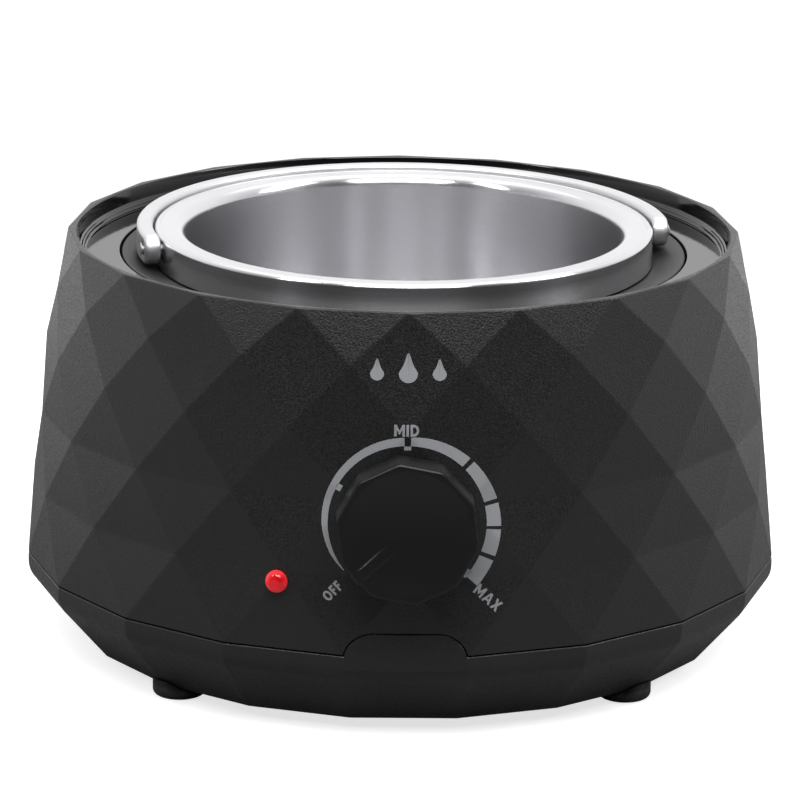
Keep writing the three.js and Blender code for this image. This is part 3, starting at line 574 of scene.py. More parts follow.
@dataclass(frozen=True)
class FacetLattice:
    """The faceted outside of the upper shell: rings of corners, each turned half a step from the next."""

    sides: int = 20
    rings: tuple[tuple[float, float, float], ...] = (      # corner radius, height, turn in steps
        (97.5, 24, 0.5), (95.5, 43.3, 0), (93.6, 61.6, 0.5), (92, 78.7, 0), (89.4, 94.3, 0.5), (86.1, 107, 0))

    def corners(self, inset: float = 0) -> np.ndarray:
        """Corners of each ring, moved inwards: radius at angle (corner + turn) steps, at the ring's height.

        Args:
            inset: how far the corners move towards the axis, mm.

        Returns:
            Points, rings by sides by three.
        """
        radius, height, turn = np.array(self.rings).T[:, :, None]
        angle = (np.arange(self.sides) + turn) * 2 * math.pi / self.sides
        reach = radius - inset
        return np.stack([reach * np.sin(angle), -reach * np.cos(angle), height + 0 * angle], -1) + AXIS

    def bands(self, rings: int) -> np.ndarray:
        """Corner numbers of the flat triangles between rings, two for each side of each band."""
        ring, side = np.meshgrid(np.arange(rings - 1), np.arange(self.sides), indexing="ij")
        after = (side + 1) % self.sides
        low, low_after = ring * self.sides + side, ring * self.sides + after
        high, high_after = low + self.sides, low_after + self.sides
        back = ring % 2 == 0              # the upper ring lies half a step back, then half a step on
        first = np.where(back[..., None], np.stack([low, low_after, high_after], -1),
                         np.stack([low, low_after, high], -1))
        second = np.where(back[..., None], np.stack([low, high_after, high], -1),
                          np.stack([low_after, high_after, high], -1))
        return np.concatenate([first.reshape(-1, 3), second.reshape(-1, 3)])

    def surface_from(self, starts: np.ndarray, direction: np.ndarray) -> np.ndarray:
        """Points where rays meet the facets: the nearest facet whose edges the ray passes between.

        Args:
            starts: where the rays start, mm.
            direction: the way that they all go.

        Returns:
            The meeting points, in the order of the starts.
        """
        triangles = self.corners().reshape(-1, 3)[self.bands(len(self.rings))]
        a = triangles[:, 0]
        edge1, edge2 = triangles[:, 1] - a, triangles[:, 2] - a
        across = np.cross(direction, edge2)
        size = (edge1 * across).sum(1)
        size = np.where(np.abs(size) < 1e-9, np.inf, size)
        away = starts[:, None] - a[None]
        u = (away * across).sum(2) / size
        side = np.cross(away, edge1)
        v = (side @ direction) / size
        distance = (side * edge2).sum(2) / size
        hit = (u > -1e-6) & (v > -1e-6) & (u + v < 1 + 1e-6) & (distance > 0)
        nearest = np.where(hit, distance, np.inf).min(1)
        return starts + nearest[:, None] * direction


LATTICE = FacetLattice()


@dataclass
class Tongue:
    """The base's tongue, which rises into a slot in the front of the upper shell."""

    top: float = 29.6
    half_width: float = 15.25
    flat_half_width: float = 8
    back: float = 92.4
    front: float = 100

    def outline(self, inset: float, foot: float) -> np.ndarray:
        """Flat top with two round shoulders, in x and height, moved inwards by an inset."""
        half, top = self.half_width - inset, self.top - inset
        rise = top - 24
        run = half - self.flat_half_width
        radius = (run * run + rise * rise) / (2 * rise)
        sweep = np.linspace(0, math.asin(min(1.0, run / radius)), 13)
        shoulder = np.column_stack([self.flat_half_width + radius * np.sin(sweep),
                                    top - radius * (1 - np.cos(sweep))])
        right = np.concatenate([shoulder, [[half, foot]]])
        return np.concatenate([right, right[::-1] * (-1, 1)])

    def block(self, name: str, inset: float, foot: float, back: float) -> bpy.types.Object:
        """Block of the outline, reaching from inside the wall to well in front of it."""
        place = Matrix.Translation(AXIS) @ Matrix.Rotation(math.pi / 2, 4, "X")
        return prism(name, self.outline(inset, foot), back, self.front, place)


@dataclass
class UpperShell:
    """Faceted upper shell with a glossy trough inside its rim, and its four inner posts."""

    rim_inner: float = 83.9
    step: tuple[float, float] = (82.3, 103.2)
    deck: tuple[float, float] = (81.9, 101.7)
    mouth: float = 72.9
    ledge: tuple[float, float] = (64.5, 93.3)
    shelf: float = 1.6            # thickness of the ledge under the seat ring, mm
    throat: float = 84.6          # corners of the inner wall, just under the trough
    wall: float = 2.6
    columns: int = 160
    foot_circle: float = 79
    post_radius: float = 4.1
    shaft_hole: float = 4.8
    lamp_hole: float = 2.65
    tongue: Tongue = field(default_factory=Tongue)

    def build(self) -> bpy.types.Object:
        """Facets outside, a round trough inside, and the cut-outs for the parts that pass through."""
        outside = LATTICE.corners()
        inside = LATTICE.corners(self.wall)
        rim_height = LATTICE.rings[-1][1]
        under = self.deck[1] - 2.5
        share = self.throat / LATTICE.rings[-1][0]
        inside[-1] = AXIS + (outside[-1] - AXIS) * (share, share, 0) + (0, 0, under)
        trough = rounded([
            (self.rim_inner, rim_height), (self.step[0] + 0.8, self.step[1], 0.3),
            (self.step[0], self.step[1] - 0.3, 0.2), (*self.deck, 0.5), (self.mouth, self.deck[1]),
            (self.mouth, self.ledge[1], 0.3), self.ledge, (self.ledge[0], self.ledge[1] - self.shelf),
            (self.mouth + 2, self.ledge[1] - self.shelf), (self.mouth + 2, under)], steps=4)
        grid = placed(carried(trough, circle_spokes(self.columns)))
        rows, sides = len(grid), LATTICE.sides
        points = np.concatenate([outside.reshape(-1, 3), inside.reshape(-1, 3), grid.reshape(-1, 3)])
        inner_start, grid_start = outside.size // 3, (outside.size + inside.size) // 3
        bands = LATTICE.bands(len(LATTICE.rings))
        faces = [*bands.tolist(), *(bands[:, ::-1] + inner_start).tolist()]
        side = np.arange(sides)
        ring = np.stack([side, (side + 1) % sides, (side + 1) % sides + inner_start, side + inner_start], 1)
        faces += ring.tolist()
        row, column = np.meshgrid(np.arange(rows - 1), np.arange(self.columns), indexing="ij")
        low = row * self.columns + column + grid_start
        after = row * self.columns + (column + 1) % self.columns + grid_start
        faces += np.stack([low, after, after + self.columns, low + self.columns], -1).reshape(-1, 4).tolist()
        for corner_start, row_start in ((inner_start - sides, grid_start),
                                        (grid_start - sides, grid_start + (rows - 1) * self.columns)):
            faces += self.land(corner_start, row_start).tolist()
        shell = mesh_piece("upper_shell_fine", points, faces, sharp=4)
        round_edges(shell, 0.38, 5)
        self.cut(shell)
        shell.data.set_sharp_from_angle(angle=math.radians(30))
        return soften(shell)

    def land(self, corner_start: int, row_start: int) -> np.ndarray:
        """Corner numbers of the flat pieces between a ring of corners and a circle, one for each side."""
        each = self.columns // LATTICE.sides
        side = np.arange(LATTICE.sides)
        arc = row_start + ((side[:, None] + 1) * each - np.arange(each + 1)) % self.columns
        pair = corner_start + np.stack([side, (side + 1) % LATTICE.sides], 1)
        return np.concatenate([pair, arc], 1)

    def cut(self, shell: bpy.types.Object) -> None:
        """Cut the slot for the tongue and the holes for the knob's shaft, the lamp and the inlet."""
        _, high = (np.array(corner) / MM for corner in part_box("inlet_socket"))
        half = (Inlet.half_height + GAP, Inlet.half_width + GAP)
        inlet = rounded([(sx * half[1], sz * half[0] + middle("inlet_pin_left")[2], 1.2)
                         for sx, sz in ((1, -1), (1, 1), (-1, 1), (-1, -1))], closed=True)
        inlet_place = Matrix.Translation((0, high[1] + 4, 0)) @ Matrix.Rotation(math.pi / 2, 4, "X")
        tools = [self.tongue.block("slot", 0, 20, self.tongue.back - 2),
                 prism("inlet_hole", inlet, 0, 16, inlet_place),
                 prism("knob_hole", circle_spokes(32) * self.shaft_hole, -9, 4, DIAL_PLACE),
                 prism("lamp_hole", circle_spokes(32) * self.lamp_hole, -8, 4, LAMP_PLACE)]
        combine(shell, tools, Operation.CUT)
        post = circle_spokes(32) * self.post_radius
        posts = [prism("post", post, 12, self.deck[1] - 2, upright_place(azimuth, self.foot_circle))
                 for azimuth in (45, 135, 225, 315)]
        combine(shell, posts, Operation.JOIN)

    def mark_trough(self, shell: bpy.types.Object) -> None:
        """Give the faces of the trough, inside the rim's land, the second finish."""
        count = len(shell.data.polygons)
        centre = np.empty(count * 3)
        shell.data.polygons.foreach_get("center", centre)
        centre = centre.reshape(-1, 3) / MM - AXIS
        radius = np.hypot(centre[:, 0], centre[:, 1])
        polished = (radius < self.rim_inner) & (centre[:, 2] > self.deck[1] - 0.5) \
            & (centre[:, 2] < LATTICE.rings[-1][1] - 0.05)
        shell.data.polygons.foreach_set("material_index", polished.astype(np.int32))

    def dress(self, shell: bpy.types.Object) -> None:
        """Grained plastic outside, polished in the trough."""
        finish_piece(shell, (GRAINED_ABS, POLISHED_ABS), "housing", ("upper_shell",))
        self.mark_trough(shell)


@dataclass
class BaseShell:
    """Base with an upright band, a slope in to the floor, a lap inside the upper shell and the tongue."""

    floor: tuple[float, float] = (84, 3.2)
    band: tuple[float, float] = (97.5, 19)
    seam: float = 24
    lap: tuple[float, float] = (92.3, 93.9)       # inner and outer radius of the lap, mm
    lap_height: float = 3.2
    corner: tuple[float, float] = (92.3, 16.9)    # inside, where the slope meets the band
    inner_floor: tuple[float, float] = (82.8, 5.8)
    slots: int = 9
    slot_pitch: float = 7.2
    tongue: Tongue = field(default_factory=Tongue)

    def build(self) -> bpy.types.Object:
        """A twenty-sided outline of revolution, joined to the tongue and pierced by the vents."""
        outline = rounded([
            (0, self.floor[1]), (*self.floor, 1.2), (*self.band, 7), (self.band[0], self.seam - GAP, 0.35),
            (self.lap[1], self.seam - GAP), (self.lap[1], self.seam + self.lap_height, 0.3),
            (self.lap[0], self.seam + self.lap_height, 0.3), (*self.corner, 2),
            (*self.inner_floor, 1), (0, self.inner_floor[1])])
        spokes = polygon_spokes(LATTICE.sides, 9, 0.02, 3)
        shell = grid_piece("base_shell_fine", placed(carried(outline, spokes)), sharp=25)
        tongue = self.tongue.block("tongue", 1.4 * GAP, 20, self.tongue.back)
        combine(tongue, [self.hull("tongue_face")], Operation.COMMON)
        combine(shell, [tongue], Operation.JOIN)
        combine(shell, self.vents(), Operation.CUT)
        return soften(shell)

    def hull(self, name: str) -> bpy.types.Object:
        """Solid inside the facets, from below the seam to the rim."""
        corners = LATTICE.corners()
        foot = corners[:1] * (1, 1, 0) + (0, 0, 15)
        points = np.concatenate([corners.reshape(-1, 3), foot.reshape(-1, 3)])
        sides, count = LATTICE.sides, len(LATTICE.rings) * LATTICE.sides
        side = np.arange(sides)
        walls = np.stack([count + side, count + (side + 1) % sides, (side + 1) % sides, side], 1)
        faces = [*LATTICE.bands(len(LATTICE.rings)).tolist(), *walls.tolist(),
                 (count + side[::-1]).tolist(), (count - sides + side).tolist()]
        return mesh_piece(name, points, faces)

    def vents(self) -> list[bpy.types.Object]:
        """Cutters for the row of round-ended vent slots in the floor."""
        slot = rounded([(1.3, -17, 1.25), (1.3, 17, 1.25), (-1.3, 17, 1.25), (-1.3, -17, 1.25)], closed=True)
        across = [(i - (self.slots - 1) / 2) * self.slot_pitch for i in range(self.slots)]
        return [prism(f"vent_{i}", slot, 0, 8, Matrix.Translation(AXIS + (x, 0, 0)))
                for i, x in enumerate(across)]

    def dress(self, shell: bpy.types.Object) -> None:
        """Grained plastic all over."""
        finish_piece(shell, (GRAINED_ABS,), "housing", ("base_shell",))


@dataclass
class Foot:
    """Rubber foot with a rounded foot edge, a pocket for its screw, and its top cut to the base."""

    place: str
    radius: float = 6.8

    def build(self) -> bpy.types.Object:
        """A turned foot, cut by the base's own slope with a small gap."""
        node = f"foot_{self.place}"
        centre = middle(f"foot_screw_{self.place}")
        spot = Matrix.Translation((centre[0], centre[1], 0))
        outline = rounded([(1.9, 8), (1.9, 1.9), (3.2, 1.9), (3.2, 0, 0.4),
                           (self.radius, 0, 1.5), (self.radius, 8)])
        foot = turned_piece(f"{node}_fine", outline, SMALL_ROUND, spot, close_rows=True)
        base = BaseShell()
        slope = math.atan2(base.band[0] - base.floor[0], base.band[1] - base.floor[1])
        out = GAP / math.cos(slope)
        foot_edge = base.floor[0] + out - GAP * math.tan(slope)
        hull = np.array([(0, base.floor[1] - GAP), (foot_edge, base.floor[1] - GAP),
                         (base.band[0] + out, base.band[1]), (0, base.band[1])])
        cutter = grid_piece("base_hull", placed(carried(hull, polygon_spokes(LATTICE.sides, 9, 0.02, 3))))
        return soften(combine(foot, [cutter], Operation.CUT))

    def dress(self, foot: bpy.types.Object) -> None:
        """Matt rubber."""
        finish_piece(foot, (RUBBER,), "housing", (f"foot_{self.place}",))


# ---------------------------------------------------------------------------------------------
# Seat ring, well, pot and bail


@dataclass
class SeatRing:
    """Dull ring that the pot's skirt stands on, dipping from the deck towards the pot."""

    top: float = 101.7
    inner: float = 59.6
    outer: float = 72.4
    seat: float = 99.2

    def build(self) -> bpy.types.Object:
        """A closed turned section with small round edges."""
        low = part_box("seat_ring")[0].z / MM
        outline = rounded([
            (self.inner, low, 0.3), (self.outer, low, 0.3), (self.outer, self.top, 0.5), (64, self.seat, 0.6),
            (62.8, self.seat - 0.4, 0.3), (60.4, self.seat - 0.5, 0.5),
            (self.inner, self.seat - 1.3, 0.3)], closed=True)
        return turned_piece("seat_ring_fine", outline, close_rows=True)

    def dress(self, ring: bpy.types.Object) -> None:
        """Dull filled nylon."""
        finish_piece(ring, (FILLED_NYLON,), "housing", ("seat_ring",))


@dataclass
class HeaterWell:
    """Spun cup under the pot, with a turned-out flange under the seat ring."""

    outer: float = 60.6
    wall: float = 1.6
    corner: float = 5

    def build(self) -> bpy.types.Object:
        """A turned cup whose inner and outer corners share a centre."""
        low, high = (np.array(corner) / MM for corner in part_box("heater_well"))
        reach, inner = (high[0] - low[0]) / 2, self.outer - self.wall
        outline = rounded([
            (0, low[2]), (self.outer, low[2], self.corner + self.wall), (self.outer, high[2] - 1.5, 0.8),
            (reach, high[2] - 1.5), (reach, high[2]), (inner, high[2], 1.2),
            (inner, low[2] + self.wall, self.corner), (0, low[2] + self.wall)])
        return turned_piece("heater_well_fine", outline)

    def dress(self, well: bpy.types.Object) -> None:
        """Dull spun aluminium."""
        finish_piece(well, (DULL_ALUMINIUM,), "housing", ("heater_well",))


@dataclass
class Pot:
    """Spun pot with a rolled lip, a flat flange with a fine groove, and a skirt."""

    mouth: float = 56.25
    floor_radius: float = 54
    flange: float = 64
    top: float = 107.95
    bottom: float = 46.2
    wall: float = 1.4
    lip: float = 2.75
    corner: float = 6
    skirt_bottom: float = 99.5
    skirt_wall: float = 1.2
    edge: float = 0.8
    groove: float = 62.7
    groove_depth: float = 0.16

    def build(self) -> bpy.types.Object:
        """A turned section: floor, wall, rolled lip, groove, rounded outer edge and skirt."""
        floor = self.bottom + self.wall
        under = self.top - 1.2
        outline = rounded([
            (0, floor), (self.floor_radius, floor, self.corner), (self.mouth, self.top, self.lip),
            (self.groove - 0.3, self.top, 0.1), (self.groove, self.top - self.groove_depth, 0.08),
            (self.groove + 0.3, self.top, 0.1),
            (self.flange, self.top, self.edge), (self.flange, self.skirt_bottom, 0.25),
            (self.flange - self.skirt_wall, self.skirt_bottom, 0.25),
            (self.flange - self.skirt_wall, under, 0.5), (self.mouth + self.lip + 0.6, under, 0.8),
            (self.mouth + self.wall, self.top - self.lip - 0.4, 1.5),
            (self.floor_radius + self.wall, self.bottom, self.corner + self.wall), (0, self.bottom)], steps=8)
        return turned_piece("pot_fine", self.with_rows(outline), 256)

    def with_rows(self, outline: np.ndarray) -> np.ndarray:
        """The outline with its long straight stretches cut into steps of 12 mm at most."""
        step = np.linalg.norm(np.diff(outline, axis=0), axis=1)
        pieces = np.maximum(np.ceil(step / 12), 1).astype(int)
        start = np.repeat(outline[:-1], pieces, 0)
        way = np.repeat(np.diff(outline, axis=0) / pieces[:, None], pieces, 0)
        order = np.arange(pieces.sum()) - np.repeat(np.cumsum(pieces) - pieces, pieces)
        return np.concatenate([start + way * order[:, None], outline[-1:]])

    def dress(self, pot: bpy.types.Object) -> None:
        """Satin spun aluminium."""
        finish_piece(pot, (SPUN_ALUMINIUM,), "pot", ("pot",))


@dataclass
class Bail:
    """Flat strip bent to a half circle behind the pot, with rounded ends and a domed rivet at each."""

    inner: float = 64.5
    outer: float = 68.6
    half_height: float = 3.9
    forward: float = 5
    edge: float = 1.1
    rivet_radius: float = 1.7
    rivet_hole: float = 1.4

    def __post_init__(self) -> None:
        """Take the hinge line's place and direction from the frame."""
        hinge = joint("bail_swing")
        self.turn = math.atan2(hinge["axis"][1], hinge["axis"][0])
        self.height = hinge["pos_m"][2] / MM
        self.place = Matrix.Translation(AXIS + (0, 0, self.height)) @ Matrix.Rotation(self.turn, 4, "Z")

    def build(self) -> bpy.types.Object:
        """A flat strip with round ends, its edges rounded, wrapped on the pot's circle.

        Each column is a point of a stadium outline, along the strip and across it. Each row insets
        the outline and moves through the strip's thickness along two quarter circles, and the first
        and last rows shrink the outline to its middle line. The length along the strip becomes an
        angle from the back of the pot.
        """
        middle_radius = (self.inner + self.outer) / 2
        reach = middle_radius * (math.pi / 2 + math.asin(self.forward / middle_radius))
        along = np.linspace(-reach, reach, 145)
        cap = np.linspace(0, math.pi, 17)[1:-1]
        middle_line = np.concatenate([along, np.full(15, reach), along[::-1], np.full(15, -reach)])
        spoke = np.concatenate([
            np.tile((0.0, -1.0), (145, 1)), np.column_stack([np.sin(cap), -np.cos(cap)]),
            np.tile((0.0, 1.0), (145, 1)), np.column_stack([-np.sin(cap), np.cos(cap)])])
        quarter = np.radians(np.linspace(0, 90, 6))
        inset = np.concatenate([[self.half_height], self.edge * (1 - np.sin(quarter)),
                                self.edge * (1 - np.cos(quarter)), [self.half_height]])
        depth = np.concatenate([[self.inner], self.inner + self.edge * (1 - np.cos(quarter)),
                                self.outer - self.edge * (1 - np.sin(quarter)), [self.outer]])
        size = (self.half_height - inset)[:, None]
        angle = (middle_line[None] + spoke[None, :, 0] * size) / middle_radius
        points = np.stack([depth[:, None] * np.sin(angle), depth[:, None] * np.cos(angle),
                           spoke[None, :, 1] * size], -1)
        strip = grid_piece("bail_fine", placed(points, self.place), sharp=60)
        hole = prism("rivet_hole", circle_spokes(24) * self.rivet_hole, -75, 75, self.hinge_place())
        return soften(combine(strip, [hole], Operation.CUT))

    def hinge_place(self) -> Matrix:
        """Place whose z runs along the hinge line to the right, from the middle of the pot."""
        return self.place @ Matrix.Translation((0, -self.forward, 0)) @ Matrix.Rotation(math.pi / 2, 4, "Y")

    def rivet(self, name: str, side: int) -> bpy.types.Object:
        """A turned rivet: small inner head, shank, and a low dome outside the strip."""
        low, high = self.inner - 2.3, math.sqrt(self.outer ** 2 - self.forward ** 2) + 0.25
        outline = rounded([
            (0, low), (1.25, low, 0.15), (1.25, low + 0.6), (1.1, low + 0.6), (1.1, high),
            (self.rivet_radius, high, 0.08), (self.rivet_radius - 0.1, high + 0.2, 0.2),
            (0.9, high + 0.48, 1.2), (0, high + 0.5)])
        place = self.hinge_place() @ Matrix.Rotation(math.pi if side < 0 else 0, 4, "Y")
        return turned_piece(f"rivet_{name}_fine", outline, SMALL_ROUND, place)

    def dress(self, strip: bpy.types.Object) -> None:
        """Bright tumbled aluminium; the rivets ride on the pot."""
        finish_piece(strip, (TUMBLED_ALUMINIUM,), "bail", ("bail",))
        for name, side in (("left", -1), ("right", 1)):
            rivet = self.rivet(name, side)
            finish_piece(rivet, (TUMBLED_ALUMINIUM,), "pot", (f"rivet_{name}",))


# ---------------------------------------------------------------------------------------------
# Dial, knob and lamp


def dial_place() -> Matrix:
    """Place of the dial: z out of the housing along the knob's shaft, y up the facets."""
    turn = joint("knob_turn")
    spot, out = Vector(turn["pos_m"]) / MM, -Vector(turn["axis"])
    across = Vector((1, 0, 0))
    matrix = Matrix((across, out.cross(across), out)).transposed().to_4x4()
    return Matrix.Translation(spot) @ matrix


DIAL_PLACE = dial_place()
LAMP_PLACE = outward_place(-19, 95.6, 41, 2.4)


@dataclass
class Knob:
    """Ten-sided knob with a dished face, and a pointer rib that runs over its edge and down its side."""

    sides: int = 10
    turn: float = 7.2
    back: float = 1.4
    front: float = 13.37
    back_radius: float = 17.5
    front_radius: float = 17.35
    dish_radius: float = 15.4
    dish_depth: float = 1.3
    pointer_angle: float = 222
    pointer_half_width: float = 1.3
    pointer_rise: float = 0.32
    nub_rise: float = 0.75
    bevel: float = 0.5
    wall: float = 2.4
    hub_radius: float = 5.6
    bore_radius: float = 3.35
    columns: int = 400

    def build(self) -> bpy.types.Object:
        """Rows of a ten-sided outline that turn to circles inside the face and the hollow back.

        The rib lifts the face, and pushes out the side, by a smooth step across its width that grows
        from nothing near the middle of the dish.
        """
        edge = self.front_radius - self.bevel
        share = np.linspace(1, 0, 30)
        hollow = self.back_radius * math.cos(math.pi / self.sides) - self.wall
        side = np.linspace(0.04, 0.96, 9)
        wall = np.column_stack([self.back_radius + (self.front_radius - self.back_radius) * side,
                                self.back + (self.front - self.bevel - self.back) * side, 0 * side])
        rows = np.concatenate([
            [(0, 8.4, 1), (hollow - 0.5, 8.4, 1), (hollow, 7.9, 1), (hollow, self.back, 1),
             (hollow + 0.2, self.back, 1), (self.back_radius - 0.4, self.back, 0)], wall,
            [(self.front_radius, self.front - self.bevel, 0), (self.front_radius - 0.14, self.front - 0.16, 0),
             (edge, self.front, 0), (edge - 0.2, self.front - 0.01, 0.05)],
            np.column_stack([share * self.dish_radius, self.front - self.dish_depth * (1 - share ** 2),
                             0 * share + 1])])
        angle = np.arange(self.columns) * 2 * math.pi / self.columns
        grid = carried(rows[:, :2], self.spokes(angle), rows[:, 2])
        grid = self.with_pointer(grid, angle, first=6)
        knob = grid_piece("knob_fine", placed(grid, DIAL_PLACE), sharp=24)
        hub = prism("hub", circle_spokes(32) * self.hub_radius, 3.6, 9, DIAL_PLACE)
        combine(knob, [hub], Operation.JOIN)
        bore = prism("bore", circle_spokes(32) * self.bore_radius, 3, 10.6, DIAL_PLACE)
        combine(knob, [bore], Operation.CUT)
        knob.data.set_sharp_from_angle(angle=math.radians(24))
        return soften(knob)

    def spokes(self, angle: np.ndarray) -> np.ndarray:
        """Ten sides, small round corners: high powers of a spoke's shares of the sides add up to one."""
        normal = math.radians(self.turn + 90) + (np.arange(self.sides) + 0.5) * 2 * math.pi / self.sides
        power = 90
        shares = np.maximum(np.cos(angle[:, None] - normal), 0) / math.cos(math.pi / self.sides)
        reach = (shares ** power).sum(1) ** (-1 / power)
        return np.column_stack([np.cos(angle), np.sin(angle)]) * reach[:, None]

    def with_pointer(self, grid: np.ndarray, angle: np.ndarray, first: int) -> np.ndarray:
        """The grid with the rib added, on the rows after the hollow back.

        Args:
            grid: rows by columns by three, in the dial's own space.
            angle: angle of each column from the right, in radians.
            first: first row that the rib may change.

        Returns:
            The changed grid.
        """
        off = angle - math.radians(self.pointer_angle)
        radius = np.hypot(grid[..., 0], grid[..., 1])
        across = np.where(np.cos(off) > 0, np.abs(radius * np.sin(off)), np.inf)
        band = np.clip((self.pointer_half_width + 0.15 - across) / 0.3, 0, 1)
        band = band * band * (3 - 2 * band)
        band[:first] = 0
        growth = np.clip((radius - 4.5) / 8, 0, 1)
        on_side = np.clip((self.front - 0.45 - grid[..., 2]) / 0.1, 0, 1) * (radius > self.dish_radius)
        grid = grid.copy()
        room = np.minimum(self.pointer_rise, self.front - grid[..., 2])
        grid[..., 2] += band * growth * (1 - on_side) * room
        grid[..., :2] *= (1 + band * on_side * self.nub_rise / np.maximum(radius, 1))[..., None]
        return grid

    def dress(self, knob: bpy.types.Object) -> None:
        """Finely blasted plastic."""
        finish_piece(knob, (BLASTED_ABS,), "knob", ("knob",))


